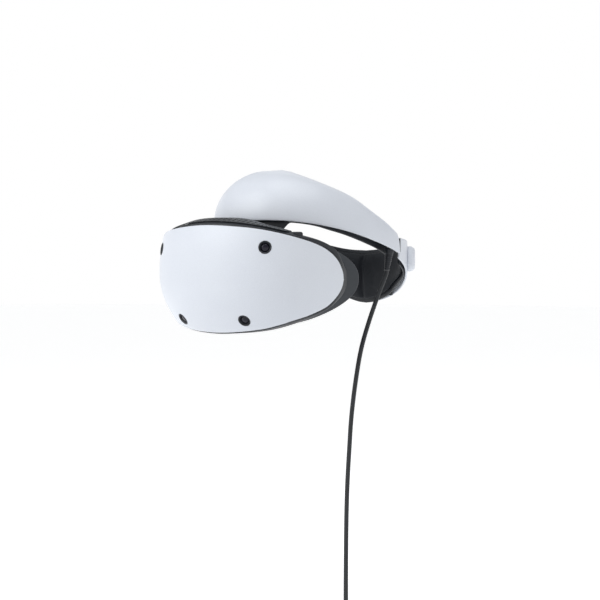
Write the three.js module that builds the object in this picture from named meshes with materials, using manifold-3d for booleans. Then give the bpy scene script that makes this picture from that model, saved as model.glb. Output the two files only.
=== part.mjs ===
// Head-mounted display with a halo headband, in millimetres.
// +X is the wearer's left, -Y is forward, +Z is up.
// The origin is the middle of the head opening, level with the two lens axes.
import * as THREE from 'three';
import { mergeVertices } from 'three/addons/utils/BufferGeometryUtils.js';
import Module from 'manifold-3d';

const wasm = await Module();
wasm.setup();

// ---------------------------------------------------------------- dimensions

const GAP = 0.3; // clearance between pieces that touch

// Front cover: half of its plan outline, from the mid-plane outwards.
const VISOR_PLAN = [[0, -148], [36, -144], [66, -132.5], [86, -114.5], [96.5, -92], [101, -72], [103, -56]];
const VISOR_TOP = [
  [0, 50.5], [0.17, 48.8], [0.33, 45.6], [0.5, 40.2], [0.66, 34],
  [0.8, 27], [0.92, 17.2], [0.98, 7.8], [1, -1],
];
const VISOR_BOTTOM = [
  [0, -51.5], [0.3, -47.5], [0.5, -41.5], [0.68, -34.5], [0.84, -26.5], [0.94, -17], [0.985, -9], [1, -1],
];
const VISOR_WIDEST_Z = 6;
const VISOR_THICKNESS = 2.2;
const VISOR_GAP = 1;

// Scope housing, lens plate and light shield.
const HOUSING_WALL = 2.2;
const HOUSING_LIP = 1.2;
const HOUSING_BULGE = { top: 4.6, shoulder: 7, bottom: 1.8 };
const HOUSING_RIM = { halfWidth: 96.2, top: 45, bottom: 48.5, hump: 10.5 };
const SHIELD_RIM = { halfWidth: 93.4, top: 42.5, bottom: 45.5, hump: 0 };
const RIM_POWER = 2.6;
const NOSE = { rise: 20, halfWidth: 15 };
const HOUSING_REAR_Y = -94;
const FACE_Y = -78;
const SIDE_WRAP = 51; // how far the rims reach back at the temples
const LENS_PLATE_THICKNESS = 2;
const SHIELD_LIP = 12;
const TEMPLE_LOBE = { reach: 7, halfHeight: 34, z: 1 }; // the light shield's ears beside the eyes
const RING_STEPS = 36; // points round the housing's and the light shield's rings
const PLATE_SHIFT = -4; // the lens plate lies this far in front of the housing's rear rim
const SCREW_SPOTS = [[64, 22], [64, -24], [-64, 22], [-64, -24]];
const SCREW_SEAT = 1.3; // the heads stand this far off the curved plate

// Tracking cameras: x and z of each pair on the front cover.
const CAMERA_SPOTS = { upper: [69, 29], lower: [41, -39.4] };
const CAMERA_BEZEL_RADIUS = 6;
const CAMERA_LENS_RADIUS = 3.9;

// Optics.
const EYE_X = 32.5;
const EYE_TRAVEL = 4;
const BARREL_RADIUS = 24;
const BARREL_FRONT_Y = -122;
const BARREL_REAR_Y = -97;
const BARREL_WALL = 1.8;
const DISPLAY_HALF = 18.5;

// Inside the scope.
const SENSOR = { radius: 2.4, z: 20 };
const BOARD = { halfWidth: 44, low: -18, high: 32, front: -129.4, back: -127.8 };
const FAN = { y: -115, radius: 14, low: 34.5, high: 44.5, wall: 1.2, blades: 7 };

// Controls on the scope.
const IPD_DIAL = { x: 80, y: -97, radius: 5.8, shaft: 3, foot: 24, low: 39.6, high: 43.6 };
const LOW_BUTTON = { x: 15, y: -112, z: -52.2, radius: 4 };

// Headband plan: half of the closed outline, from the forehead to the back of the head.
const BAND_PLAN = [
  [0, -91], [29, -87], [54, -71.5], [72, -46.5], [83, -14], [88, 20],
  [87.5, 52], [77, 84], [53, 108], [26, 117.5], [0, 119.5],
];
const BAND_LOWER = [[0, 56], [0.2, 54.5], [0.35, 47.5], [0.5, 34.5], [0.62, 23], [0.75, 16], [1, 8]];
const BAND_UPPER = [
  [0, 107], [0.12, 106.6], [0.25, 101.5], [0.4, 84], [0.5, 64.5], [0.62, 42.5], [0.75, 35], [1, 34],
];
const BAND_LEAN = [[0, 51], [0.12, 50], [0.22, 46], [0.35, 26], [0.5, 11], [0.62, 5], [1, 5]];
const BAND_SEAM = 0.595; // where the front band ends, as a fraction of the half outline
const BAND_SHELL = 2.5;
const LINER_THICKNESS = 2;

// Rear band.
const REAR_START = 0.606;
const REAR_LOWER = [
  [0.5, 32], [0.6, 21], [0.66, 12.5], [0.74, 0.5], [0.8, -8.5], [0.88, -18.5], [0.95, -23.5], [1, -25],
];
const REAR_UPPER = [[0.5, 42.5], [0.6, 41], [0.7, 38.5], [0.8, 34.5], [0.9, 30], [1, 28.5]];
const REAR_SHELL = 2;
const REAR_FRAME = 1.6;
const FRAME_PROUD = 1.2; // the inner frame stands this far beyond the shell's edges
const REAR_PAD = 7;

// The rear band slides along a line that falls by this slope.
const SLIDE_SLOPE = -0.378;
const STRAP = { x: 79.4, thickness: 1.8, height: 11, front: -2, back: 69, zAt57: 31.8 };

// Rear dial.
const DIAL_Z = 2;
const BOSS = { radius: 26, front: 111, back: 119 };
const DIAL = { radius: 24.5, front: 119.4, back: 130, bore: 10.8, boreFloor: 121.8, grooves: 18 };
const DIAL_SHAFT_RADIUS = 5.9;
const PINION = { radius: 9, front: 108, back: 111 };
const RELEASE_BUTTON = { radius: 10.4, front: 124.4, back: 131 };

// Earbud holders and the audio jack.
const POD = { t: 0.722, z: 20, radius: 13, proud: 7.4, hole: 1.9 };
const JACK_T = 0.87;

// Slide rail that carries the scope.
const RAIL = { halfWidth: 22, front: -124, back: -87, low: 47.4, high: 49.8 };

// Cord: a round lead that leaves the left side of the band and hangs to the floor.
const CORD_DIAMETER = 4.5;
const FLOOR_Z = -365;
const CORD_X = 82.5;
const GLAND = { top: [CORD_X, 39.6, 30.5], bottom: [CORD_X, 34.8, 8], radius: 4.3 };
const CORD_ROUTE = [
  [CORD_X, 34.6, 7.3], [CORD_X, 33.1, 3], [CORD_X, 29.3, -3.2], [CORD_X, 23.6, -12], [CORD_X, 16.2, -25],
  [CORD_X, 6.6, -42.6], [CORD_X, -5, -68], [CORD_X, -13.5, -98.6], [CORD_X, -20.2, -134],
  [CORD_X, -23.3, -164],
  [CORD_X, -26, -194.7], [CORD_X, -27.4, -222], [CORD_X, -28.2, -260], [CORD_X, -28.5, -295],
  [CORD_X, -28.5, -322],
];
const COIL = { radius: 26.8, halfWidth: 13.8, height: 18.4, x: 55.7, y: -10.5 };
const LANDING_RADIUS = 18;
const COIL_TOP = FLOOR_Z + COIL.height;
const LANDING_Z = COIL_TOP + GAP + CORD_DIAMETER / 2;
const TIE = { clear: 1.2, width: 9 };
const PLUG = { length: 20, halfWidth: 6, halfHeight: 3.2, tip: 6.6, clearOfCoil: 1.2 };

// ---------------------------------------------------------------- materials

function finish(color, roughness, metalness = 0) {
  return new THREE.MeshStandardMaterial({ color, roughness, metalness });
}


const whitePlastic = finish(0xe6eaf2, 0.45);
const blackPlastic = finish(0x20262c, 0.5);
const darkGloss = finish(0x2b333a, 0.25);
const foam = finish(0x15191e, 0.9);
const rubber = finish(0x33383e, 0.75);
const lensGlass = finish(0x9fb4c8, 0.05);
const cameraGlass = finish(0x10161c, 0.05);
const circuitGreen = finish(0x1f4a38, 0.6);
const screwSteel = finish(0x8d9296, 0.35, 1);
const plugSteel = finish(0xb9bcc0, 0.3, 1);

// ---------------------------------------------------------------- curves

const lerp = (a, b, f) => a + (b - a) * f;
const smooth = (low, high, value) => THREE.MathUtils.smoothstep(value, low, high);
const polar = (radius, angle) => new THREE.Vector2(radius * Math.cos(angle), radius * Math.sin(angle));

// A smooth function of |t| through the given points, even about t = 0.
function profile(points) {
  const mirrored = points.slice(1).reverse().map(([t, value]) => new THREE.Vector3(-t, value, 0));
  const half = points.map(([t, value]) => new THREE.Vector3(t, value, 0));
  const curve = new THREE.CatmullRomCurve3([...mirrored, ...half], false, 'catmullrom', 0.5);
  const samples = curve.getPoints(400);
  return (t) => {
    const at = Math.abs(t);
    const next = Math.max(1, samples.findIndex((sample) => sample.x >= at));
    const [a, b] = at > samples.at(-1).x ? samples.slice(-2) : [samples[next - 1], samples[next]];
    return lerp(a.y, b.y, THREE.MathUtils.clamp((at - a.x) / (b.x - a.x), 0, 1));
  };
}

const visorTop = profile(VISOR_TOP);
const visorBottom = profile(VISOR_BOTTOM);
const bandLower = profile(BAND_LOWER);
const bandUpper = profile(BAND_UPPER);
const bandLean = profile(BAND_LEAN);
const rearLower = profile(REAR_LOWER);
const rearUpper = profile(REAR_UPPER);

const planPoint = ([x, y]) => new THREE.Vector3(x, y, 0);
const mirroredPlan = (points) => points.map(([x, y]) => planPoint([-x, y]));
const visorPlan = new THREE.CatmullRomCurve3(
  [...mirroredPlan(VISOR_PLAN.slice(1).reverse()), ...VISOR_PLAN.map(planPoint)], false, 'catmullrom', 0.5,
);
const bandPlan = new THREE.CatmullRomCurve3(
  [...BAND_PLAN.map(planPoint), ...mirroredPlan(BAND_PLAN.slice(1, -1).reverse())], true, 'catmullrom', 0.5,
);

// A point of a plan curve, moved inwards by an offset and lifted to z.
function offsetPoint(curve, u, offset, z) {
  const point = curve.getPoint(u);
  const tangent = curve.getTangent(u);
  return new THREE.Vector3(point.x - tangent.y * offset, point.y + tangent.x * offset, z);
}

// The front cover's surface leans in above and below its widest level.
function visorInset(z) {
  const up = Math.max(0, (z - VISOR_WIDEST_Z) / 46);
  const down = Math.max(0, (VISOR_WIDEST_Z - z) / 60);
  return 7 * up ** 2.2 + 27 * down ** 2.1;
}

// s runs from -1 at the right end of the cover to 1 at its left end.
const visorPoint = (s, z, depth) => offsetPoint(visorPlan, (s + 1) / 2, visorInset(z) + depth, z);

// t is 0 at the forehead, 1 at the back of the head, and negative on the right.
const bandPoint = (t, offset, z) => offsetPoint(bandPlan, (((t / 2) % 1) + 1) % 1, offset, z);
const folded = (t) => (t > 1 ? 2 - t : t);

// ---------------------------------------------------------------- solids

function signedVolume(position, index) {
  const [a, b, c] = [0, 1, 2].map(() => new THREE.Vector3());
  let volume = 0;
  for (let i = 0; i < index.length; i += 3) {
    a.fromBufferAttribute(position, index[i]);
    b.fromBufferAttribute(position, index[i + 1]);
    c.fromBufferAttribute(position, index[i + 2]);
    volume += a.dot(b.cross(c)) / 6;
  }
  return volume;
}

// Joins equal points, drops triangles without area and turns the faces outwards.
function closedGeometry(points, triangles) {
  const loose = new THREE.BufferGeometry();
  loose.setAttribute('position', new THREE.Float32BufferAttribute(points.flatMap((p) => p.toArray()), 3));
  loose.setIndex(triangles.flat());
  const geometry = mergeVertices(loose, 1e-4);
  const old = Array.from(geometry.getIndex().array);
  const index = [];
  for (let i = 0; i < old.length; i += 3) {
    const [a, b, c] = old.slice(i, i + 3);
    if (a !== b && b !== c && c !== a) index.push(a, b, c);
  }
  if (signedVolume(geometry.getAttribute('position'), index) < 0) index.reverse();
  geometry.setIndex(index);
  return geometry;
}

const quad = (a, b, c, d) => [[a, b, c], [a, c, d]];

// A curved sheet with thickness, between two surfaces given as functions of u and v in 0 to 1.
function sheetSolid(outer, inner, uSteps, vSteps) {
  const points = [];
  const at = (side, i, j) => (side * (uSteps + 1) + i) * (vSteps + 1) + j;
  for (const surface of [outer, inner]) {
    for (let i = 0; i <= uSteps; i++) {
      for (let j = 0; j <= vSteps; j++) points.push(surface(i / uSteps, j / vSteps));
    }
  }
  const triangles = [];
  for (let i = 0; i < uSteps; i++) {
    for (let j = 0; j < vSteps; j++) {
      triangles.push(...quad(at(0, i, j), at(0, i + 1, j), at(0, i + 1, j + 1), at(0, i, j + 1)));
      triangles.push(...quad(at(1, i, j), at(1, i, j + 1), at(1, i + 1, j + 1), at(1, i + 1, j)));
    }
    triangles.push(...quad(at(0, i, 0), at(1, i, 0), at(1, i + 1, 0), at(0, i + 1, 0)));
    triangles.push(...quad(at(0, i, vSteps), at(0, i + 1, vSteps), at(1, i + 1, vSteps), at(1, i, vSteps)));
  }
  for (let j = 0; j < vSteps; j++) {
    triangles.push(...quad(at(0, 0, j), at(0, 0, j + 1), at(1, 0, j + 1), at(1, 0, j)));
    triangles.push(...quad(at(0, uSteps, j), at(1, uSteps, j), at(1, uSteps, j + 1), at(0, uSteps, j + 1)));
  }
  return closedGeometry(points, triangles);
}

// Joins rings of equal length. The ends are closed with a fan, or the last ring meets the first.
function ringSolid(rings, looped) {
  const size = rings[0].length;
  const points = rings.flat();
  const triangles = [];
  const strips = looped ? rings.length : rings.length - 1;
  for (let k = 0; k < strips; k++) {
    const [here, there] = [k * size, ((k + 1) % rings.length) * size];
    for (let i = 0; i < size; i++) {
      const next = (i + 1) % size;
      triangles.push(...quad(here + i, here + next, there + next, there + i));
    }
  }
  if (!looped) {
    const ends = [[rings[0], 0, true], [rings.at(-1), (rings.length - 1) * size, false]];
    for (const [ring, start, flip] of ends) {
      const middle = ring.reduce((sum, p) => sum.add(p), new THREE.Vector3()).divideScalar(size);
      const centre = points.push(middle) - 1;
      for (let i = 0; i < size; i++) {
        const [a, b] = [start + i, start + ((i + 1) % size)];
        triangles.push(flip ? [centre, b, a] : [centre, a, b]);
      }
    }
  }
  return closedGeometry(points, triangles);
}

function toSolid(geometry) {
  const bare = geometry.clone();
  bare.deleteAttribute('normal');
  bare.deleteAttribute('uv');
  const merged = mergeVertices(bare, 1e-4);
  const vertProperties = new Float32Array(merged.getAttribute('position').array);
  const triVerts = new Uint32Array(merged.getIndex().array);
  return new wasm.Manifold(new wasm.Mesh({ numProp: 3, vertProperties, triVerts }));
}

function toGeometry(solid) {
  const { vertProperties, triVerts } = solid.getMesh();
  const geometry = new THREE.BufferGeometry();
  geometry.setAttribute('position', new THREE.Float32BufferAttribute(vertProperties, 3));
  geometry.setIndex(Array.from(triVerts));
  return geometry;
}

function cut(body, ...tools) {
  return toGeometry(tools.reduce((solid, tool) => solid.subtract(toSolid(tool)), toSolid(body)));
}

function join(body, ...others) {
  return toGeometry(others.reduce((solid, other) => solid.add(toSolid(other)), toSolid(body)));
}

const vector = (values) => (values.isVector3 ? values : new THREE.Vector3(...values));

// Moves a shape made about the Y axis so that Y runs from one point towards another.
function aimed(geometry, from, to) {
  const direction = vector(to).clone().sub(vector(from)).normalize();
  const turn = new THREE.Quaternion().setFromUnitVectors(new THREE.Vector3(0, 1, 0), direction);
  return geometry.applyQuaternion(turn).translate(...vector(from).toArray());
}

// A round bar, or a cone, from one point to another.
function rod(from, to, radius, endRadius = radius, segments = 14) {
  const length = vector(from).distanceTo(vector(to));
  const bar = new THREE.CylinderGeometry(endRadius, radius, length, segments);
  return aimed(bar.translate(0, length / 2, 0), from, to);
}

// A turned shape: profile points are [radius, distance along the axis].
function turned(outline, from, to, segments = 14) {
  const points = outline.map(([radius, along]) => new THREE.Vector2(radius, along));
  return aimed(new THREE.LatheGeometry(points, segments), from, to);
}

function box(low, high) {
  const size = high.map((value, i) => value - low[i]);
  const middle = high.map((value, i) => (value + low[i]) / 2);
  return new THREE.BoxGeometry(...size).translate(...middle);
}

// ---------------------------------------------------------------- assembly

const headset = new THREE.Group();
headset.name = 'vr_headset';

function add(name, geometry, material) {
  const mesh = new THREE.Mesh(geometry, material);
  mesh.name = name;
  headset.add(mesh);
}

const SIDES = [['left', 1], ['right', -1]];

// ---------------------------------------------------------------- cameras

// The point, outward direction and place of one camera on the front cover.
function cameraSpot(level, side) {
  const [x, z] = CAMERA_SPOTS[level];
  let [low, high] = [0, 1];
  for (let i = 0; i < 30; i++) {
    const middle = (low + high) / 2;
    if (visorPoint(middle, z, 0).x < x) low = middle;
    else high = middle;
  }
  const point = visorPoint(low, z, 0);
  const across = visorPoint(low + 1e-3, z, 0).sub(point);
  const upward = visorPoint(low, z + 0.1, 0).sub(point);
  const outward = across.cross(upward).normalize();
  return { point: point.setX(point.x * side), outward: outward.setX(outward.x * side) };
}

const cameraSpots = [];
for (const level of ['upper', 'lower']) {
  for (const [side, sign] of SIDES) {
    cameraSpots.push({ name: `${level}_${side}`, ...cameraSpot(level, sign) });
  }
}

const along = (spot, distance) => spot.point.clone().addScaledVector(spot.outward, distance);
const cameraHoles = cameraSpots.map((spot) => {
  return rod(along(spot, -12), along(spot, 6), CAMERA_BEZEL_RADIUS + GAP);
});

function addCameras() {
  for (const spot of cameraSpots) {
    const inner = CAMERA_LENS_RADIUS + GAP;
    const bezel = [
      [inner, 0], [CAMERA_BEZEL_RADIUS, 0], [CAMERA_BEZEL_RADIUS, 7.6], [CAMERA_BEZEL_RADIUS - 0.8, 8.2],
      [inner + 0.4, 7.8], [inner, 6.6], [inner, 0],
    ];
    add(`camera_bezel_${spot.name}`, turned(bezel, along(spot, -8), along(spot, 0)), blackPlastic);
    const lens = [
      [0, 0], [CAMERA_LENS_RADIUS, 0], [CAMERA_LENS_RADIUS, 5.6], [3, 6.4], [1.6, 6.9], [0, 7.1],
    ];
    add(`camera_lens_${spot.name}`, turned(lens, along(spot, -7.6), along(spot, 0)), cameraGlass);
  }
}

// ---------------------------------------------------------------- front cover

function addVisor() {
  const surface = (depth) => (u, v) => {
    const s = Math.sin((u - 0.5) * Math.PI);
    return visorPoint(s, lerp(visorBottom(s), visorTop(s), v), depth);
  };
  const cover = sheetSolid(surface(0), surface(VISOR_THICKNESS), 36, 6);
  add('visor_shell', cut(cover, ...cameraHoles), whitePlastic);
}

// ---------------------------------------------------------------- scope housing

// The outline of a rear rim at plan position x, above or below the middle.
function rimHeight(rim, x, upper) {
  const fall = Math.max(0, 1 - Math.abs(x / rim.halfWidth) ** RIM_POWER) ** (1 / RIM_POWER);
  if (upper) return rim.top * fall + rim.hump * Math.exp(-((x / 45) ** 4));
  return -rim.bottom * fall + NOSE.rise * Math.exp(-((x / NOSE.halfWidth) ** 2));
}

// How far back a rim lies: it wraps round the face towards the temples.
function wrapY(middleY, x, z) {
  const side = Math.abs(x) / HOUSING_RIM.halfWidth;
  return middleY + SIDE_WRAP * side ** 2.5 - 0.01 * z * z * side ** 4;
}

// The direction away from the lens axes, in the plane across them.
const awayFromAxis = (p) => new THREE.Vector3(p.x * 0.45, 0, p.z).normalize();

// The edge of the housing's front wall, just behind the front cover's edge.
// It grows up and down, and backwards at the two ends.
function frontEdge(angle, grow) {
  const s = Math.cos(angle);
  const upper = Math.sin(angle) >= 0;
  const z = (upper ? visorTop(s) : visorBottom(s)) + grow * Math.sin(angle);
  const point = visorPoint(s, z, VISOR_THICKNESS + VISOR_GAP);
  point.y += grow * s ** 6;
  return point;
}

// The housing's walls swell between the front cover and the rear rim, least at the sides.
function swell(point, f) {
  const top = lerp(HOUSING_BULGE.top, HOUSING_BULGE.shoulder, smooth(78, 92, Math.abs(point.x)));
  const bulge = point.z > 0 ? top : HOUSING_BULGE.bottom;
  return bulge * Math.sin(Math.PI * f) * Math.min(1, (point.z / 24) ** 2);
}

const FRONT_HALF_WIDTH = frontEdge(0, 0).x;

function rimPoint(rim, angle, middleY, grow = 0) {
  const x = (frontEdge(angle, 0).x / FRONT_HALF_WIDTH) * rim.halfWidth;
  const z = rimHeight(rim, x, Math.sin(angle) >= 0);
  const point = new THREE.Vector3(x, wrapY(middleY, x, z), z);
  return point.addScaledVector(awayFromAxis(point), grow);
}

function ring(pointAt) {
  return Array.from({ length: RING_STEPS }, (_, i) => pointAt((2 * Math.PI * i) / RING_STEPS));
}

// One ring of the housing wall: f is 0 at the front cover and 1 at the rear rim.
function housingRing(f, inset) {
  return ring((angle) => {
    const point = frontEdge(angle, HOUSING_LIP).lerp(rimPoint(HOUSING_RIM, angle, HOUSING_REAR_Y), f);
    point.addScaledVector(awayFromAxis(point), swell(point, f) - inset);
    point.y += inset * (1 - f);
    return point;
  });
}

// A ring on the housing's front wall, which follows the front cover.
function frontRing(k, depth) {
  return ring((angle) => {
    const s = Math.cos(angle);
    const z = Math.sin(angle) >= 0 ? visorTop(s) : visorBottom(s);
    return visorPoint(s * k, z * k, VISOR_THICKNESS + VISOR_GAP + depth);
  });
}

function addHousing() {
  const scales = [0.15, 0.5, 0.82];
  const stations = [0, 0.3, 0.65, 1];
  const outside = [...scales.map((k) => frontRing(k, 0)), ...stations.map((f) => housingRing(f, 0))];
  const inside = [
    ...stations.slice().reverse().map((f) => housingRing(f, HOUSING_WALL)),
    ...scales.slice().reverse().map((k) => frontRing(k * 0.97, HOUSING_WALL)),
  ];
  const pockets = [];
  for (const [, sign] of SIDES) {
    const [dialX, buttonX] = [sign * IPD_DIAL.x, sign * LOW_BUTTON.x];
    const { y, shaft, radius, low } = IPD_DIAL;
    pockets.push(rod([dialX, y, 20], [dialX, y, 60], shaft + GAP));
    pockets.push(rod([dialX, y, low - 1.6], [dialX, y, 60], radius + 0.5));
    const [below, above] = [[buttonX, LOW_BUTTON.y, -62], [buttonX, LOW_BUTTON.y, -38]];
    pockets.push(rod(below, above, LOW_BUTTON.radius + GAP));
  }
  const housing = ringSolid([...outside, ...inside], false);
  add('scope_housing', cut(housing, ...cameraHoles, ...pockets), blackPlastic);
}

// A raised strip of vents along the top of the housing, just behind the front cover.
function addVentStrip() {
  const surface = (lift) => (u, v) => {
    const angle = lerp(0.35, 0.65, u) * Math.PI;
    const f = lerp(0.1, 0.3, v);
    const point = frontEdge(angle, HOUSING_LIP).lerp(rimPoint(HOUSING_RIM, angle, HOUSING_REAR_Y), f);
    return point.addScaledVector(awayFromAxis(point), swell(point, f) + lift);
  };
  add('vent_strip', sheetSolid(surface(1.5), surface(0.6), 20, 1), darkGloss);
}

// ---------------------------------------------------------------- lens plate and light shield

function scaledRim(k, shift) {
  return ring((angle) => {
    const edge = rimPoint(SHIELD_RIM, angle, HOUSING_REAR_Y, -0.6);
    const [x, z] = [edge.x * k, edge.z * k];
    return new THREE.Vector3(x, wrapY(HOUSING_REAR_Y, x, z) + shift, z);
  });
}

function addLensPlate() {
  const scales = [0.15, 0.5, 0.8, 1];
  const rear = scales.map((k) => scaledRim(k, PLATE_SHIFT));
  const front = scales.slice().reverse().map((k) => scaledRim(k, PLATE_SHIFT - LENS_PLATE_THICKNESS));
  const windows = [];
  for (const [, sign] of SIDES) {
    for (const shift of [-EYE_TRAVEL, 0, EYE_TRAVEL]) {
      const x = sign * (EYE_X + shift);
      windows.push(rod([x, -120, 0], [x, -60, 0], BARREL_RADIUS + 1));
    }
  }
  const sensorHole = rod([0, -120, SENSOR.z], [0, -80, SENSOR.z], SENSOR.radius + GAP);
  add('lens_plate', cut(ringSolid([...rear, ...front], false), ...windows, sensorHole), blackPlastic);
}

// A ring of the light shield's size, from points [inward distance, backward distance].
function rimRing(outline, startY) {
  const sections = [];
  for (let i = 0; i < RING_STEPS; i++) {
    const angle = (2 * Math.PI * i) / RING_STEPS;
    const edge = rimPoint(SHIELD_RIM, angle, startY);
    sections.push(outline(edge).map(([inward, back]) => {
      const point = edge.clone().addScaledVector(awayFromAxis(edge), -inward);
      point.y += back;
      return point;
    }));
  }
  return ringSolid(sections, true);
}

function addLightShield() {
  const frame = () => [[0, -3.4], [0, 1], [2.6, 1], [2.6, -3.4]];
  add('light_shield_frame', rimRing(frame, HOUSING_REAR_Y), blackPlastic);
  const shield = (edge) => {
    const side = Math.abs(edge.x) / SHIELD_RIM.halfWidth;
    const ear = Math.max(0, 1 - ((edge.z - TEMPLE_LOBE.z) / TEMPLE_LOBE.halfHeight) ** 2);
    const depth = FACE_Y - HOUSING_REAR_Y + TEMPLE_LOBE.reach * side ** 4 * ear;
    const nose = edge.z < 0 ? Math.exp(-((edge.x / 22) ** 2)) : 0;
    const lip = SHIELD_LIP * (1 - 0.75 * nose);
    return [
      [0, 1.3], [-2, depth - 1.5], [-1.2, depth], [lip, depth - 1.2], [lip, depth - 2.6],
      [1.2, depth - 2.4], [2, 1.3],
    ];
  };
  add('light_shield', rimRing(shield, HOUSING_REAR_Y), rubber);
}

function addScrews() {
  SCREW_SPOTS.forEach(([x, z], i) => {
    const y = wrapY(HOUSING_REAR_Y, x, z) + PLATE_SHIFT;
    const slope = wrapY(0, x + 1, z) - wrapY(0, x, z);
    const outward = new THREE.Vector3(-slope, 1, 0).normalize();
    const seat = new THREE.Vector3(x, y, z).addScaledVector(outward, SCREW_SEAT);
    const head = [[0, 0], [2.6, 0], [2.6, 0.9], [2, 1.5], [0, 1.5]];
    add(`lens_plate_screw_${i + 1}`, turned(head, seat, seat.clone().add(outward), 10), screwSteel);
  });
}

// ---------------------------------------------------------------- inside the scope

function addOptics() {
  for (const [side, sign] of SIDES) {
    const x = sign * EYE_X;
    const length = BARREL_REAR_Y - BARREL_FRONT_Y;
    const inner = BARREL_RADIUS - BARREL_WALL;
    const barrel = [
      [inner, 0], [BARREL_RADIUS - 1, 0], [BARREL_RADIUS, 1], [BARREL_RADIUS, length], [inner, length],
      [inner, 0],
    ];
    add(`lens_barrel_${side}`, turned(barrel, [x, BARREL_FRONT_Y, 0], [x, 0, 0], 28), blackPlastic);
    const lens = [[0, 0], [inner - GAP, 1.5], [inner - GAP, 4.5], [14, 6.4], [0, 7.4]];
    add(`lens_${side}`, turned(lens, [x, BARREL_REAR_Y - 8.5, 0], [x, 0, 0], 28), lensGlass);
    const low = [x - DISPLAY_HALF, BARREL_FRONT_Y - 2.4, -DISPLAY_HALF];
    const high = [x + DISPLAY_HALF, BARREL_FRONT_Y - 0.4, DISPLAY_HALF];
    add(`display_${side}`, box(low, high), darkGloss);
  }
}

function addElectronics() {
  const board = box([-BOARD.halfWidth, BOARD.front, BOARD.low], [BOARD.halfWidth, BOARD.back, BOARD.high]);
  add('main_board', board, circuitGreen);
  const inner = FAN.radius - FAN.wall;
  const depth = FAN.high - FAN.low;
  const duct = [
    [3.4, 0], [FAN.radius, 0], [FAN.radius, depth], [inner, depth], [inner, FAN.wall],
    [3.4, FAN.wall], [3.4, 0],
  ];
  add('fan_housing', turned(duct, [0, FAN.y, FAN.low], [0, FAN.y, FAN.high], 20), blackPlastic);
  const hub = rod([0, FAN.y, FAN.low - 1], [0, FAN.y, FAN.high - 1.4], 3);
  const blades = [];
  for (let i = 0; i < FAN.blades; i++) {
    const blade = box([2.4, -0.6, FAN.low + 2], [inner - 0.8, 0.6, FAN.high - 1.6]);
    blades.push(blade.rotateZ((2 * Math.PI * i) / FAN.blades).translate(0, FAN.y, 0));
  }
  add('fan_rotor', join(hub, ...blades), blackPlastic);
  add('proximity_sensor', rod([0, -101, SENSOR.z], [0, -96.5, SENSOR.z], SENSOR.radius), cameraGlass);
}

// ---------------------------------------------------------------- controls on the scope

function addControls() {
  const { x, y, radius, shaft, foot } = IPD_DIAL;
  const [low, high] = [IPD_DIAL.low - foot, IPD_DIAL.high - foot];
  const knob = [
    [0, 0], [shaft, 0], [shaft, low], [radius, low], [radius, high - 1.4], [radius - 1.4, high], [0, high],
  ];
  add('ipd_dial', turned(knob, [x, y, foot], [x, y, foot + 1]), blackPlastic);
  add('scope_button', turned(knob, [-x, y, foot], [-x, y, foot + 1]), blackPlastic);
  for (const [name, sign] of [['power_button', 1], ['function_button', -1]]) {
    const r = LOW_BUTTON.radius;
    const cap = [[0, 0], [r - 0.5, 0], [r, 0.5], [r, 6.5], [0, 6.5]];
    const at = [sign * LOW_BUTTON.x, LOW_BUTTON.y, LOW_BUTTON.z];
    add(name, turned(cap, at, [at[0], at[1], 0], 14), darkGloss);
  }
}

// ---------------------------------------------------------------- front band

const linerDepth = (t) => lerp(4.5, 16.2, smooth(0.22, 0.36, Math.abs(t)));
const linerDrop = (t) => lerp(10, 1.2, smooth(0.15, 0.19, Math.abs(t)));

function domePoint(t, w, thickness) {
  const turn = (w * Math.PI) / 2;
  const offset = thickness + bandLean(t) * (1 - Math.cos(turn));
  const height = bandUpper(t) - bandLower(t) - thickness;
  return bandPoint(t, offset, bandLower(t) + height * Math.sin(turn));
}

function linerPoint(t, w, depth) {
  const topOffset = bandLean(t) + 1 + 4.5 * smooth(0.5, 0.56, Math.abs(t));
  const offset = lerp(linerDepth(t), topOffset, w * w) + depth;
  return bandPoint(t, offset, lerp(bandLower(t) - linerDrop(t), bandUpper(t) - 4, w));
}

const alongFront = (u) => lerp(-BAND_SEAM, BAND_SEAM, u);

function addFrontBand() {
  const outer = (u, w) => domePoint(alongFront(u), w, 0);
  const inner = (u, w) => domePoint(alongFront(u), w, BAND_SHELL);
  const [top, bottom] = [GLAND.top, GLAND.bottom].map(vector);
  const above = top.clone().lerp(bottom, -0.1);
  const notch = rod(above, bottom, GLAND.radius + GAP);
  add('front_band_shell', cut(sheetSolid(outer, inner, 40, 5), notch), whitePlastic);
  const face = (depth) => (u, w) => linerPoint(alongFront(u), w, depth);
  add('front_band_liner', sheetSolid(face(0), face(LINER_THICKNESS), 36, 4), blackPlastic);
}

// The forehead pad fills the inside of the liner at the front.
function addForeheadPad() {
  const face = (depth) => (u, v) => {
    const t = lerp(-0.27, 0.27, u);
    const edge = Math.sin(Math.PI * Math.min(1, Math.max(0, u)));
    const bulge = depth > 3 ? 3 * edge * Math.sin(Math.PI * v) : 0;
    return linerPoint(t, lerp(0.1, 0.86, v), LINER_THICKNESS + depth + bulge);
  };
  add('forehead_pad', sheetSolid(face(1.5), face(8), 16, 4), foam);
}

function addSlideRail() {
  const plate = box([-RAIL.halfWidth, RAIL.front, RAIL.low], [RAIL.halfWidth, RAIL.back, RAIL.high]);
  const tongue = box([-3, RAIL.front + 6, RAIL.low - 1.5], [3, RAIL.back - 8, RAIL.low + 1]);
  add('slide_rail', join(plate, tongue), darkGloss);
}

// ---------------------------------------------------------------- rear band

const rearShellOffset = (t) => 3 + 2 * smooth(0.62, 0.72, folded(t));
const rearFrameOffset = (t) => 8.2 + 6 * smooth(0.7, 0.82, folded(t));

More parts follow.
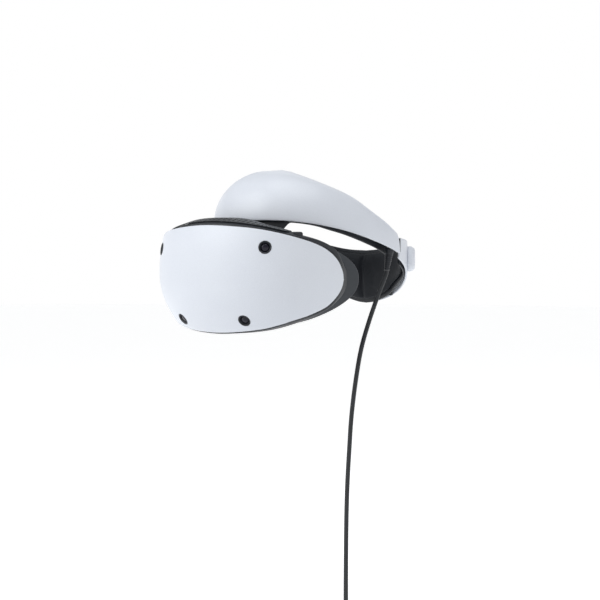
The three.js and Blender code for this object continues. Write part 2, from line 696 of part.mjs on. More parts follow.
// A strip round the back of the head, between two offsets, from one side's start to the other's.
function rearStrip(start, outerOffset, innerOffset, lift, uSteps, vSteps) {
  const face = (offset) => (u, v) => {
    const t = lerp(start, 2 - start, u);
    const [low, high] = [rearLower(folded(t)) + lift, rearUpper(folded(t)) - lift];
    return bandPoint(t, offset(t, v, u), lerp(low, high, v));
  };
  return sheetSolid(face(outerOffset), face(innerOffset), uSteps, vSteps);
}

function addRearBand() {
  const crown = (v) => 0.6 * (2 * v - 1) ** 4;
  const outer = (t, v) => rearShellOffset(t) + crown(v);
  const inner = (t, v) => rearShellOffset(t) + crown(v) + REAR_SHELL;
  const shell = rearStrip(REAR_START, outer, inner, 0, 34, 4);
  const boss = rod([0, BOSS.front, DIAL_Z], [0, BOSS.back, DIAL_Z], BOSS.radius, BOSS.radius - 0.6, 28);
  const hole = rod([0, BOSS.front - 6, DIAL_Z], [0, BOSS.back + 2, DIAL_Z], DIAL_SHAFT_RADIUS + 0.4);
  const hollow = BOSS.radius - 2.4;
  const recess = rod([0, BOSS.front - 4, DIAL_Z], [0, BOSS.front + 2.4, DIAL_Z], hollow, hollow, 28);
  add('rear_band_shell', cut(join(shell, boss), hole, recess), whitePlastic);

  const frameInner = (t) => rearFrameOffset(t) + REAR_FRAME;
  add('rear_frame', rearStrip(0.645, rearFrameOffset, frameInner, -FRAME_PROUD, 28, 1), blackPlastic);

  const padOuter = (t) => rearFrameOffset(t) + REAR_FRAME + 0.4;
  const crest = (u, v) => Math.sqrt(Math.sin(Math.PI * u) * Math.sin(Math.PI * v));
  const padInner = (t, v, u) => padOuter(t) + 1.5 + REAR_PAD * crest(u, v);
  add('rear_pad', rearStrip(0.66, padOuter, padInner, 2, 24, 4), foam);
}

// A flat strap that runs inside the front band and bends in behind the rear shell.
function addStraps() {
  const { x, thickness, height, front, back, zAt57 } = STRAP;
  const sideT = (y) => {
    let [low, high] = [0.4, 0.72];
    for (let i = 0; i < 30; i++) {
      const middle = (low + high) / 2;
      if (bandPoint(middle, 6.6, 0).y < y) low = middle;
      else high = middle;
    }
    return low;
  };
  for (const [side, sign] of SIDES) {
    const face = (shift) => (u, v) => {
      const y = lerp(front, back, u);
      const middle = Math.min(x, bandPoint(sideT(y), 6.6, 0).x);
      const z = zAt57 + SLIDE_SLOPE * (y - 57) + height * (v - 0.5);
      return new THREE.Vector3(sign * (middle + shift * thickness), y, z);
    };
    add(`strap_${side}`, sheetSolid(face(0.5), face(-0.5), 20, 1), darkGloss);
  }
}

function addDial() {
  const { radius, front, back, bore, boreFloor } = DIAL;
  const outline = [
    [0, PINION.front], [PINION.radius, PINION.front], [PINION.radius, PINION.back],
    [DIAL_SHAFT_RADIUS, PINION.back], [DIAL_SHAFT_RADIUS, front], [radius, front], [radius, back - 2],
    [radius - 2, back], [bore, back], [bore, boreFloor], [0, boreFloor],
  ].map(([r, y]) => [r, y - PINION.front]);
  const body = turned(outline, [0, PINION.front, DIAL_Z], [0, back, DIAL_Z], 36);
  const grooves = [];
  for (let i = 0; i < DIAL.grooves; i++) {
    const spot = polar(radius + 0.7, (2 * Math.PI * (i + 0.5)) / DIAL.grooves);
    const [low, high] = [front + 2.4, back + 1];
    grooves.push(rod([spot.x, low, DIAL_Z + spot.y], [spot.x, high, DIAL_Z + spot.y], 1.6, 1.6, 6));
  }
  add('rear_dial', cut(body, ...grooves), whitePlastic);
  const depth = RELEASE_BUTTON.back - RELEASE_BUTTON.front;
  const r = RELEASE_BUTTON.radius;
  const button = [[0, 0], [r, 0], [r, depth - 1.4], [r - 1.4, depth - 0.3], [0, depth]];
  add('release_button', turned(button, [0, RELEASE_BUTTON.front, DIAL_Z], [0, 140, DIAL_Z], 20), darkGloss);
}

function addEarbudHolders() {
  for (const [side, sign] of SIDES) {
    const base = bandPoint(POD.t, rearShellOffset(POD.t), POD.z);
    const outward = base.clone().sub(bandPoint(POD.t, rearShellOffset(POD.t) + 1, POD.z));
    const mirrored = (p) => new THREE.Vector3(p.x * sign, p.y, p.z);
    const at = (distance) => mirrored(base.clone().addScaledVector(outward, distance));
    const puck = [
      [0, 0], [POD.radius, 0], [POD.radius, POD.proud + 2.4], [POD.radius - 2, POD.proud + 4],
      [0, POD.proud + 4],
    ];
    const bandSide = (depth) => (u, v) => {
      const t = lerp(0.62, 0.84, u);
      return mirrored(bandPoint(t, rearShellOffset(t) + depth, lerp(-40, 70, v)));
    };
    const behind = sheetSolid(bandSide(-0.4), bandSide(9), 18, 1);
    const hole = rod(at(POD.proud - 5), at(POD.proud + 2), POD.hole);
    add(`earbud_holder_${side}`, cut(turned(puck, at(-4), at(10), 20), behind, hole), whitePlastic);
  }
}

function addJack() {
  const low = rearLower(JACK_T);
  const top = bandPoint(JACK_T, 10.9, low + 9);
  const bottom = bandPoint(JACK_T, 10.9, low - 0.6);
  const outline = [[1.75, 0], [2.9, 0], [2.9, 9.6], [0, 9.6], [0, 7.6], [1.75, 7.6], [1.75, 0]];
  add('headphone_jack', turned(outline, bottom, top, 14), darkGloss);
}

// ---------------------------------------------------------------- cord

function tube(points, radius, sides, steps) {
  const path = new THREE.CatmullRomCurve3(points.map(vector), false, 'centripetal');
  const corners = Array.from({ length: sides }, (_, i) => polar(radius, (2 * Math.PI * i) / sides));
  const section = new THREE.Shape(corners);
  return new THREE.ExtrudeGeometry(section, { steps, bevelEnabled: false, extrudePath: path });
}

// The cord turns from hanging to lying on top of the coil.
function landingPoints() {
  const points = [];
  for (let i = 0; i <= 6; i++) {
    const turn = (i / 6) * (Math.PI / 2);
    const y = COIL.y - LANDING_RADIUS * Math.cos(turn);
    points.push([CORD_X, y, LANDING_Z + LANDING_RADIUS * (1 - Math.sin(turn))]);
  }
  return points;
}

function addCord() {
  const [top, bottom] = [GLAND.top, GLAND.bottom].map(vector);
  const length = top.distanceTo(bottom);
  const boot = [[0, 0], [GLAND.radius, 0], [GLAND.radius, 6], [3.6, 9], [2.7, length], [0, length]];
  add('cable_gland', turned(boot, top, bottom, 14), blackPlastic);
  add('cord_tube', tube([...CORD_ROUTE, ...landingPoints()], CORD_DIAMETER / 2, 8, 36), rubber);

  const [near, far, high] = [COIL.radius - COIL.halfWidth, COIL.radius + COIL.halfWidth, COIL.height];
  const section = [
    [near, 2], [near + 2, 0], [far - 2, 0], [far, 2], [far, high - 2], [far - 2, high],
    [near + 2, high], [near, high - 2], [near, 2],
  ];
  add('cord_coil', turned(section, [COIL.x, COIL.y, FLOOR_Z], [COIL.x, COIL.y, 0], 28), rubber);
  addCoilTie(COIL.halfWidth + TIE.clear);
  addPlug(far);
}

// A flat bar with a rectangular section, centred along its length.
function bar(half, low, high, length) {
  const corners = [[-half, low], [half, low], [half, high], [-half, high]];
  const shape = new THREE.Shape(corners.map(([x, y]) => new THREE.Vector2(x, y)));
  const solid = new THREE.ExtrudeGeometry(shape, { depth: length, bevelEnabled: false });
  return solid.translate(0, 0, -length / 2);
}

// A strap round the coil's section, open at the floor.
function addCoilTie(half) {
  const outer = bar(half + TIE.clear, -0.2, COIL.height + 1.4, TIE.width);
  const strap = cut(outer, bar(half, -1, COIL.height + 0.2, 2 * TIE.width));
  const upright = strap.rotateX(Math.PI / 2).rotateZ(Math.PI / 2);
  add('coil_tie', upright.translate(COIL.x, COIL.y - COIL.radius, FLOOR_Z + 0.2), rubber);
}

// The plug lies on the floor beside the coil, joined to it by the cord's tail.
function addPlug(far) {
  const radius = far + PLUG.clearOfCoil + PLUG.halfWidth;
  const z = FLOOR_Z + PLUG.halfHeight;
  const start = COIL.x - radius;
  const tail = [];
  for (let i = 0; i <= 8; i++) {
    const turn = Math.PI / 2 + (i / 8) * (Math.PI / 2);
    const r = lerp(far + CORD_DIAMETER / 2 + 0.5, radius, smooth(0, 1, i / 8));
    const height = lerp(FLOOR_Z + CORD_DIAMETER / 2, z, i / 8);
    tail.push([COIL.x + r * Math.cos(turn), COIL.y + r * Math.sin(turn), height]);
  }
  add('cord_tail', tube(tail, CORD_DIAMETER / 2, 8, 10), rubber);
  const back = COIL.y - GAP;
  const outline = new THREE.Shape();
  const [w, h] = [PLUG.halfWidth, PLUG.halfHeight];
  outline.moveTo(-w + h, -h);
  outline.lineTo(w - h, -h);
  outline.absarc(w - h, 0, h, -Math.PI / 2, Math.PI / 2, false);
  outline.lineTo(-w + h, h);
  outline.absarc(-w + h, 0, h, Math.PI / 2, (3 * Math.PI) / 2, false);
  const options = { depth: PLUG.length, bevelEnabled: false, curveSegments: 6 };
  const body = new THREE.ExtrudeGeometry(outline, options);
  add('plug_body', body.rotateX(Math.PI / 2).translate(start, back, z), blackPlastic);
  const front = back - PLUG.length;
  const tip = box([start - 4.2, front - PLUG.tip, z - 1.25], [start + 4.2, front - GAP, z + 1.25]);
  add('plug_shell', tip, plugSteel);
}

addVisor();
addCameras();
addHousing();
addVentStrip();
addLensPlate();
addLightShield();
addScrews();
addOptics();
addElectronics();
addControls();
addFrontBand();
addForeheadPad();
addSlideRail();
addRearBand();
addStraps();
addDial();
addEarbudHolders();
addJack();
addCord();

export default headset;
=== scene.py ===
import math

import bmesh
import bpy
import numpy as np
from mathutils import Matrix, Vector
from mathutils.kdtree import KDTree


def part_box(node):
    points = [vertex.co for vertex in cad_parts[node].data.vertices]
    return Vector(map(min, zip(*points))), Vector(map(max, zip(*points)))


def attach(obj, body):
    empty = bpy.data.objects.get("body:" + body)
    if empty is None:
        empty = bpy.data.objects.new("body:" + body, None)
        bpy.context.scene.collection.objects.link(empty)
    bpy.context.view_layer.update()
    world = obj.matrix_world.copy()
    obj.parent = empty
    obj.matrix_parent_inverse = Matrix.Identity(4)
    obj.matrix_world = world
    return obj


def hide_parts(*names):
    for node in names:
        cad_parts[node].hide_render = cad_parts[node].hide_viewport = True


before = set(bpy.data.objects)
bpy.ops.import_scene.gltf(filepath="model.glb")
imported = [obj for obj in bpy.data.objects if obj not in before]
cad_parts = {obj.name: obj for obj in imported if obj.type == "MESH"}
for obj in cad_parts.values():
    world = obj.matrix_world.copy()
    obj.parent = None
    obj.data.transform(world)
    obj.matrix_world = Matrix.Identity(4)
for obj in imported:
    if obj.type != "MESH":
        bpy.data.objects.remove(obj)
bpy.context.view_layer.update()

# Everything is in metres. +X is the wearer's left, -Y is forward, +Z is up.

# ------------------------------------------------------------------ driving dimensions

# Front cover: half of its plan outline, and its top and bottom edges along it.
VISOR_PLAN = [
    (0, -0.148), (0.036, -0.144), (0.066, -0.1325), (0.086, -0.1145),
    (0.0965, -0.092), (0.101, -0.072), (0.103, -0.056),
]
VISOR_TOP = [
    (0, 0.0505), (0.17, 0.0488), (0.33, 0.0456), (0.5, 0.0402), (0.66, 0.034),
    (0.8, 0.027), (0.92, 0.0172), (0.98, 0.0078), (1, -0.001),
]
VISOR_BOTTOM = [
    (0, -0.0515), (0.3, -0.0475), (0.5, -0.0415), (0.68, -0.0345),
    (0.84, -0.0265), (0.94, -0.017), (0.985, -0.009), (1, -0.001),
]
VISOR_WIDEST_Z = 0.006
VISOR_THICKNESS = 0.0022
VISOR_GAP = 0.001

# Scope housing and light shield.
HOUSING_WALL = 0.0022
HOUSING_LIP = 0.0012
HOUSING_BULGE = {"top": 0.0046, "shoulder": 0.007, "bottom": 0.0018}
HOUSING_RIM = {"half_width": 0.0962, "top": 0.045, "bottom": 0.0485, "hump": 0.0105}
SHIELD_RIM = {"half_width": 0.0934, "top": 0.0425, "bottom": 0.0455, "hump": 0.0}
RIM_POWER = 2.6
NOSE_RISE = 0.020
NOSE_HALF_WIDTH = 0.015
HOUSING_REAR_Y = -0.094
SHIELD_DEPTH = 0.016
TEMPLE_LOBE = {"reach": 0.007, "half_height": 0.034, "z": 0.001}
SIDE_WRAP = 0.051
PLATE_SHIFT = -0.004
PLATE_THICKNESS = 0.002

# Tracking cameras and optics.
CAMERA_SPOTS = {"upper": (0.069, 0.029), "lower": (0.041, -0.0394)}
BEZEL_RADIUS = 0.006
LENS_RADIUS = 0.0039
EYE_X = 0.0325
EYE_TRAVEL = 0.004
BARREL_RADIUS = 0.024
BARREL_WALL = 0.0018

# Headband plan: half of the closed outline, from the forehead to the back of the head.
BAND_PLAN = [
    (0, -0.091), (0.029, -0.087), (0.054, -0.0715), (0.072, -0.0465), (0.083, -0.014),
    (0.088, 0.02), (0.0875, 0.052), (0.077, 0.084), (0.053, 0.108), (0.026, 0.1175), (0, 0.1195),
]
BAND_LOWER = [
    (0, 0.056), (0.2, 0.0545), (0.35, 0.0475), (0.5, 0.0345), (0.62, 0.023), (0.75, 0.016), (1, 0.008),
]
BAND_UPPER = [
    (0, 0.107), (0.12, 0.1066), (0.25, 0.1015), (0.4, 0.084),
    (0.5, 0.0645), (0.62, 0.0425), (0.75, 0.035), (1, 0.034),
]
BAND_LEAN = [
    (0, 0.051), (0.12, 0.050), (0.22, 0.046), (0.35, 0.026), (0.5, 0.011), (0.62, 0.005), (1, 0.005),
]
BAND_SEAM = 0.595
BAND_SHELL = 0.0025
LINER_THICKNESS = 0.002

# Rear band.
REAR_START = 0.606
REAR_LOWER = [
    (0.5, 0.032), (0.6, 0.021), (0.66, 0.0125), (0.74, 0.0005),
    (0.8, -0.0085), (0.88, -0.0185), (0.95, -0.0235), (1, -0.025),
]
REAR_UPPER = [(0.5, 0.0425), (0.6, 0.041), (0.7, 0.0385), (0.8, 0.0345), (0.9, 0.030), (1, 0.0285)]
REAR_SHELL = 0.002
REAR_FRAME = 0.0016
FRAME_PROUD = 0.0012
DIAL_Z = 0.002

# Lead.
CORD_DIAMETER = 0.0045
CORD_X = 0.0825
GLAND_TOP = Vector((CORD_X, 0.0396, 0.0305))
GLAND_BOTTOM = Vector((CORD_X, 0.0348, 0.008))
CORD_ROUTE = [
    (CORD_X, 0.0346, 0.0073), (CORD_X, 0.0331, 0.003), (CORD_X, 0.0293, -0.0032),
    (CORD_X, 0.0236, -0.012), (CORD_X, 0.0162, -0.025), (CORD_X, 0.0066, -0.0426),
    (CORD_X, -0.005, -0.068), (CORD_X, -0.0135, -0.0986), (CORD_X, -0.0202, -0.134),
    (CORD_X, -0.0233, -0.164), (CORD_X, -0.026, -0.1947), (CORD_X, -0.0274, -0.222),
    (CORD_X, -0.0282, -0.26), (CORD_X, -0.0285, -0.295), (CORD_X, -0.0285, -0.322),
]
LANDING_RADIUS = 0.018
FLOOR_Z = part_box("cord_coil")[0].z
COIL_LOW, COIL_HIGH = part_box("cord_coil")
COIL_CENTRE = (COIL_LOW + COIL_HIGH) / 2
COIL_MIDDLE_RADIUS = 0.0268

ROUND_STEPS = 4  # segments in each rounded edge

# ------------------------------------------------------------------ numbers and curves


def lerp(a, b, f):
    return a + (b - a) * f


def smooth(low, high, value):
    f = np.clip((value - low) / (high - low), 0, 1)
    return f * f * (3 - 2 * f)


def unit(vectors):
    return vectors / np.linalg.norm(vectors, axis=-1, keepdims=True)


def catmull(points, u, closed=False):
    """Points at parameters u, from 0 to 1, of a uniform Catmull-Rom curve."""
    points = np.asarray(points, float)
    u = np.asarray(u, float)
    count = len(points)
    if closed:
        position = (u % 1) * count
        index = np.floor(position).astype(int)
        a, b, c, d = (points[(index + k) % count] for k in (-1, 0, 1, 2))
    else:
        ends = 2 * points[[0, -1]] - points[[1, -2]]
        points = np.vstack([ends[:1], points, ends[1:]])
        position = np.clip(u, 0, 1) * (count - 1)
        index = np.minimum(np.floor(position).astype(int), count - 2)
        a, b, c, d = (points[index + k] for k in range(4))
    f = (position - index)[..., None]
    leave, arrive = (c - a) / 2, (d - b) / 2
    return (
        b + leave * f + (3 * (c - b) - 2 * leave - arrive) * f**2
        + (2 * (b - c) + leave + arrive) * f**3
    )


def profile(points):
    """A smooth even function of t, from its (t, value) points for t from 0 up."""
    half = np.array(points, float)
    whole = np.vstack([half[:0:-1] * (-1, 1), half])
    samples = catmull(whole, np.linspace(0, 1, 401))
    return lambda t: np.interp(np.abs(t), samples[:, 0], samples[:, 1])


def mirrored(points):
    """A plan outline from right to left, made from its left half."""
    half = np.array(points, float)
    return np.vstack([half[:0:-1] * (-1, 1), half])


def closed_plan(points):
    """A closed plan outline, made from its left half, which ends on the mid-plane."""
    half = np.array(points, float)
    return np.vstack([half, half[-2:0:-1] * (-1, 1)])


VISOR_LINE = mirrored(VISOR_PLAN)
BAND_LINE = closed_plan(BAND_PLAN)
visor_top, visor_bottom = profile(VISOR_TOP), profile(VISOR_BOTTOM)
band_lower, band_upper, band_lean = profile(BAND_LOWER), profile(BAND_UPPER), profile(BAND_LEAN)
rear_lower, rear_upper = profile(REAR_LOWER), profile(REAR_UPPER)


def offset_points(line, closed, u, offset, z):
    """Points of a plan curve, moved inwards by an offset and lifted to z."""
    u, offset, z = np.broadcast_arrays(np.asarray(u, float), offset, z)
    middle = catmull(line, u, closed)
    ahead, behind = (catmull(line, u + step, closed) for step in (1e-4, -1e-4))
    along = unit(ahead - behind)
    x = middle[..., 0] - along[..., 1] * offset
    y = middle[..., 1] + along[..., 0] * offset
    return np.stack([x, y, z], -1)


def visor_inset(z):
    """The cover leans in above and below its widest level."""
    up = np.maximum(0, (z - VISOR_WIDEST_Z) / 0.046)
    down = np.maximum(0, (VISOR_WIDEST_Z - z) / 0.060)
    return 0.007 * up**2.2 + 0.027 * down**2.1


def visor_point(s, z, depth):
    """s runs from -1 at the right end of the cover to 1 at its left end."""
    return offset_points(VISOR_LINE, False, (s + 1) / 2, visor_inset(z) + depth, z)


def band_point(t, offset, z):
    """t is 0 at the forehead, 1 at the back of the head, and negative on the right."""
    return offset_points(BAND_LINE, True, (np.asarray(t, float) / 2) % 1, offset, z)


def folded(t):
    return np.where(np.asarray(t) > 1, 2 - np.asarray(t), t)


# ------------------------------------------------------------------ mesh making


def quads(rows, columns, close_rows=False, close_columns=True):
    """Faces of a grid of points numbered row by row."""
    row_count = rows if close_rows else rows - 1
    column_count = columns if close_columns else columns - 1
    i, j = np.meshgrid(np.arange(row_count), np.arange(column_count), indexing="ij")
    right, up = (j + 1) % columns, (i + 1) % rows
    corners = [i * columns + j, i * columns + right, up * columns + right, up * columns + j]
    return np.stack(corners, -1).reshape(-1, 4).tolist()


def build(name, points, faces, sharp=40):
    """A smooth-shaded mesh object with equal points joined and its faces turned outwards."""
    mesh = bpy.data.meshes.new(name)
    mesh.from_pydata(np.asarray(points).reshape(-1, 3).tolist(), [], faces)
    shape = bmesh.new()
    shape.from_mesh(mesh)
    bmesh.ops.remove_doubles(shape, verts=shape.verts, dist=2e-6)
    bmesh.ops.dissolve_degenerate(shape, edges=shape.edges, dist=1e-6)
    bmesh.ops.recalc_face_normals(shape, faces=shape.faces)
    shape.to_mesh(mesh)
    shape.free()
    mesh.shade_smooth()
    mesh.set_sharp_from_angle(angle=math.radians(sharp))
    piece = bpy.data.objects.new(name, mesh)
    bpy.context.scene.collection.objects.link(piece)
    return piece


def joined(name, parts):
    """One object from several; the parts are removed."""
    shape = bmesh.new()
    for part in parts:
        shape.from_mesh(part.data)
    mesh = bpy.data.meshes.new(name)
    shape.to_mesh(mesh)
    shape.free()
    mesh.shade_smooth()
    mesh.set_sharp_from_angle(angle=math.radians(40))
    for part in parts:
        bpy.data.objects.remove(part)
    piece = bpy.data.objects.new(name, mesh)
    bpy.context.scene.collection.objects.link(piece)
    return piece


def settle(piece, slot, body, stands_for=()):
    """Gives a piece the slot's material, parents it to its CAD body and hides the CAD nodes that it stands
    for.
    """
    piece.data.materials.clear()
    piece.data.materials.append(PAINTS[slot])
    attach(piece, body)
    if stands_for:
        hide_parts(*stands_for)
    return piece


def path_length(points):
    return float(np.linalg.norm(np.diff(points, axis=0), axis=1).sum())


def rounded_loop(height, thickness, radius, inset, across):
    """A closed loop round a slab's section, as (distance across, depth) pairs."""
    low, high = inset, height - inset
    top, bottom = inset, thickness - inset
    r = max(min(radius, height / 2, thickness / 2) - inset, 0)
    if high < low:
        low = high = height / 2
    side = lerp(low + r, max(high - r, low + r), np.asarray(across))
    far = side[-1]
    near = side[0]
    loop = [(x, top) for x in side]
    for k in range(1, ROUND_STEPS + 1):
        a = math.pi / 2 * k / ROUND_STEPS
        loop.append((far + r * math.sin(a), top + r * (1 - math.cos(a))))
    for k in range(ROUND_STEPS):
        a = math.pi / 2 * k / ROUND_STEPS
        loop.append((far + r * math.cos(a), bottom - r * (1 - math.sin(a))))
    loop += [(x, bottom) for x in side[::-1]]
    for k in range(1, ROUND_STEPS + 1):
        a = math.pi / 2 * k / ROUND_STEPS
        loop.append((near - r * math.sin(a), bottom - r * (1 - math.cos(a))))
    for k in range(ROUND_STEPS):
        a = math.pi / 2 * k / ROUND_STEPS
        loop.append((near - r * math.cos(a), top + r * (1 - math.sin(a))))
    return loop


def slab_grid(point, thickness, radius, along, across, capped=True):
    """Points of a curved slab with rounded edges, one closed section for each station.

    point(u, v, depth) gives the place of the fractions u along and v across, at a depth
    under the outer face.
    """
    fine = np.linspace(0, 1, 33)
    length = path_length(point(fine, np.full(33, 0.5), 0.0))
    stations = [(u, 0.0) for u in along]
    if capped:
        arc = [math.pi / 2 * k / ROUND_STEPS for k in range(ROUND_STEPS + 1)]
        rim = [(radius * (1 - math.sin(a)) / length, radius * (1 - math.cos(a))) for a in arc]
        kept = [s for s in stations if rim[0][0] < s[0] < 1 - rim[0][0]]
        stations = rim[::-1] + kept + [(1 - u, inset) for u, inset in rim]
    loops = []
    for u, inset in stations:
        height = path_length(point(np.full(33, u), fine, 0.0))
        loop = rounded_loop(height, thickness, radius, inset, across)
        loops.append([(u, x / max(height, 1e-9), depth) for x, depth in loop])
    u, v, depth = np.moveaxis(np.array(loops), -1, 0)
    return point(u, v, depth)


def slab(name, point, thickness, radius, along, across, capped=True):
    """A curved slab with rounded edges, as a closed mesh."""
    grid = slab_grid(point, thickness, radius, along, across, capped)
    rows, columns = grid.shape[:2]
    faces = quads(rows, columns)
    if capped:
        side = len(across)
        far = side + 2 * ROUND_STEPS + side - 1
        for start in (0, (rows - 1) * columns):
            for k in range(side - 1):
                faces.append([start + k, start + k + 1, start + far - k - 1, start + far - k])
    return build(name, grid, faces)


def filleted(points, radius, closed=False, steps=4):
    """A plane outline with its corners rounded, the rounding at most 0.45 of each side."""
    points = [np.array(p, float) for p in points]
    rounded = []
    for i, corner in enumerate(points):
        if not closed and i in (0, len(points) - 1):
            rounded.append(corner)
            continue
        before = points[i - 1] - corner
        after = points[(i + 1) % len(points)] - corner
        reach = min(radius, 0.45 * np.linalg.norm(before), 0.45 * np.linalg.norm(after))
        start, end = corner + unit(before) * reach, corner + unit(after) * reach
        for k in range(steps + 1):
            f = k / steps
            rounded.append((1 - f) ** 2 * start + 2 * f * (1 - f) * corner + f**2 * end)
    return np.array(rounded)


def axes_along(direction):
    """A 3 by 3 array whose rows are two directions across the given one, and it."""
    frame_of = Vector(direction).normalized().to_track_quat("Z", "Y").to_matrix()
    return np.array(frame_of.transposed())


def turned(name, outline, start, direction, segments=64, ripple=None):
    """A turned shape from (radius, distance along the axis) points.

    ripple(radius, distance, angle) may change the radius round the axis.
    """
    outline = np.asarray(outline, float)
    angles = np.arange(segments) * 2 * math.pi / segments
    radius, along = (np.repeat(outline[:, k, None], segments, 1) for k in (0, 1))
    if ripple:
        radius = ripple(radius, along, angles[None, :])
    local = np.stack([radius * np.cos(angles), radius * np.sin(angles), along], -1)
    return build(name, local @ axes_along(direction) + np.array(start), quads(len(outline), segments))


def lofted(name, rings, capped=True, looped=False, sharp=40):
    """Skins closed rings of equal length; open ends are closed with a fan."""
    rings = np.array(rings)
    rows, columns = rings.shape[:2]
    points = rings.reshape(-1, 3)
    faces = quads(rows, columns, close_rows=looped)
    if capped and not looped:
        for row in (0, rows - 1):
            centre = len(points)
            points = np.vstack([points, rings[row].mean(0)])
            faces += [[centre, row * columns + i, row * columns + (i + 1) % columns] for i in range(columns)]
    return build(name, points, faces, sharp)


def cut(piece, *cutters):
    """Takes closed shapes out of a piece and removes them."""
    for cutter in cutters:
        hole = piece.modifiers.new("hole", "BOOLEAN")
        hole.operation = "DIFFERENCE"
        hole.solver = "EXACT"
        hole.object = cutter
    bpy.context.view_layer.update()
    evaluated = piece.evaluated_get(bpy.context.evaluated_depsgraph_get())
    old = piece.data
    piece.data = bpy.data.meshes.new_from_object(evaluated)
    piece.modifiers.clear()
    bpy.data.meshes.remove(old)
    for cutter in cutters:
        bpy.data.objects.remove(cutter)
    piece.data.shade_smooth()
    piece.data.set_sharp_from_angle(angle=math.radians(40))
    return piece


def plain_rod(start, direction, radius, length, segments=48):
    outline = [(0, 0), (radius, 0), (radius, length), (0, length)]
    return turned("cutter", outline, start, direction, segments)


# ------------------------------------------------------------------ materials


class Paint:
    """A Principled material whose colour, roughness and bump come from texture nodes."""

    def __init__(self, name, **sockets):
        self.material = bpy.data.materials.new(name)
        self.material.use_nodes = True
        self.tree = self.material.node_tree
        self.shader = self.tree.nodes["Principled BSDF"]
        for socket, value in sockets.items():
            self.shader.inputs[socket.replace("_", " ")].default_value = value
        self.place = self.tree.nodes.new("ShaderNodeTexCoord").outputs["Object"]
        self.normal = None

    def link(self, source, target):
        self.tree.links.new(source, target)

    def stretched(self, scale):
        """The place, scaled by a different number along each axis."""
        mapping = self.tree.nodes.new("ShaderNodeMapping")
        mapping.inputs["Scale"].default_value = scale
        self.link(self.place, mapping.inputs["Vector"])
        return mapping.outputs["Vector"]

    def noise(self, scale, detail=3.0, place=None):
        node = self.tree.nodes.new("ShaderNodeTexNoise")
        node.inputs["Scale"].default_value = scale
        node.inputs["Detail"].default_value = detail
        self.link(place or self.place, node.inputs["Vector"])
        return node.outputs["Fac"]

    def cells(self, scale, feature="F1", place=None):
        node = self.tree.nodes.new("ShaderNodeTexVoronoi")
        node.feature = feature
        node.inputs["Scale"].default_value = scale
        self.link(place or self.place, node.inputs["Vector"])
        return node.outputs["Distance"]

    def ramp(self, factor, stops):
        node = self.tree.nodes.new("ShaderNodeValToRGB")
        elements = node.color_ramp.elements
        for _ in stops[2:]:
            elements.new(0.5)
        for element, (position, colour) in zip(elements, stops):
            element.position = position
            element.color = (*colour, 1)
        self.link(factor, node.inputs["Fac"])
        return node.outputs["Color"]

    def ranged(self, factor, low, high):
        node = self.tree.nodes.new("ShaderNodeMapRange")
        node.inputs["From Min"].default_value = 0.3
        node.inputs["From Max"].default_value = 0.7
        node.inputs["To Min"].default_value = low
        node.inputs["To Max"].default_value = high
        self.link(factor, node.inputs["Value"])
        return node.outputs["Result"]

    def mix(self, factor, first, second, blend="MIX"):
        node = self.tree.nodes.new("ShaderNodeMix")
        node.data_type = "RGBA"
        node.blend_type = blend
        sockets = [node.inputs[k] for k in (0, 6, 7)]
        for socket, value in zip(sockets, (factor, first, second)):
            if isinstance(value, bpy.types.NodeSocket):
                self.link(value, socket)
            else:
                socket.default_value = value if isinstance(value, float) else (*value, 1)
        return node.outputs[2]

    def colour(self, socket):
        self.link(socket, self.shader.inputs["Base Color"])
        return self

    def roughness(self, socket):
        self.link(socket, self.shader.inputs["Roughness"])
        return self

    def bump(self, height, distance, strength=1.0):
        node = self.tree.nodes.new("ShaderNodeBump")
        node.inputs["Distance"].default_value = distance
        node.inputs["Strength"].default_value = strength
        self.link(height, node.inputs["Height"])
        if self.normal:
            self.link(self.normal, node.inputs["Normal"])
        self.normal = node.outputs["Normal"]
        self.link(self.normal, self.shader.inputs["Normal"])
        return self


def moulded(name, low, high, grain, rough, **sockets):
    """Moulded plastic: a fine eroded grain, faint flow marks and a few rubbed patches."""
    paint = Paint(name, **sockets)
    drift = paint.noise(14, 4)
    speck = paint.noise(1 / grain, 2)
    base = paint.ramp(drift, [(0.3, low), (0.7, high)])
    fine = paint.ramp(speck, [(0.35, (0.93, 0.93, 0.93)), (0.65, (1.0, 1.0, 1.0))])
    paint.colour(paint.mix(1.0, base, fine, "MULTIPLY"))
    paint.roughness(paint.ranged(paint.noise(45, 5), *rough))
    paint.bump(speck, grain * 0.1, 0.25)
    paint.bump(drift, 0.0002, 0.12)
    return paint.material


def make_materials():
    """Every material by its slot name."""
    paints = {}
    paints["white_shell"] = moulded(
        "white_shell", (0.665, 0.695, 0.755), (0.70, 0.73, 0.785), 0.00045, (0.34, 0.44),
        Coat_Weight=0.12, Coat_Roughness=0.22, Specular_IOR_Level=0.45,
    )
    paints["black_plastic"] = moulded(
        "black_plastic", (0.010, 0.012, 0.016), (0.017, 0.020, 0.026), 0.0006, (0.40, 0.54),
        Specular_IOR_Level=0.45,
    )
    paints["dark_gloss"] = moulded(
        "dark_gloss", (0.014, 0.017, 0.021), (0.024, 0.028, 0.034), 0.0004, (0.22, 0.34),
        Coat_Weight=0.06, Coat_Roughness=0.15, Specular_IOR_Level=0.3,
    )
    paints["shield_rubber"] = rubber("shield_rubber", (0.022, 0.026, 0.031), (0.034, 0.039, 0.046))
    paints["cord_jacket"] = jacket("cord_jacket")
    paints["foam_cover"] = leather("foam_cover")
    paints["lens_glass"] = lens_glass("lens_glass")
    paints["camera_glass"] = camera_glass("camera_glass")
    paints["circuit_board"] = circuit("circuit_board")
    paints["screw_steel"] = steel("screw_steel", (0.34, 0.35, 0.37), (0.25, 0.36))
    paints["plug_steel"] = steel("plug_steel", (0.55, 0.56, 0.58), (0.18, 0.30))
    return paints


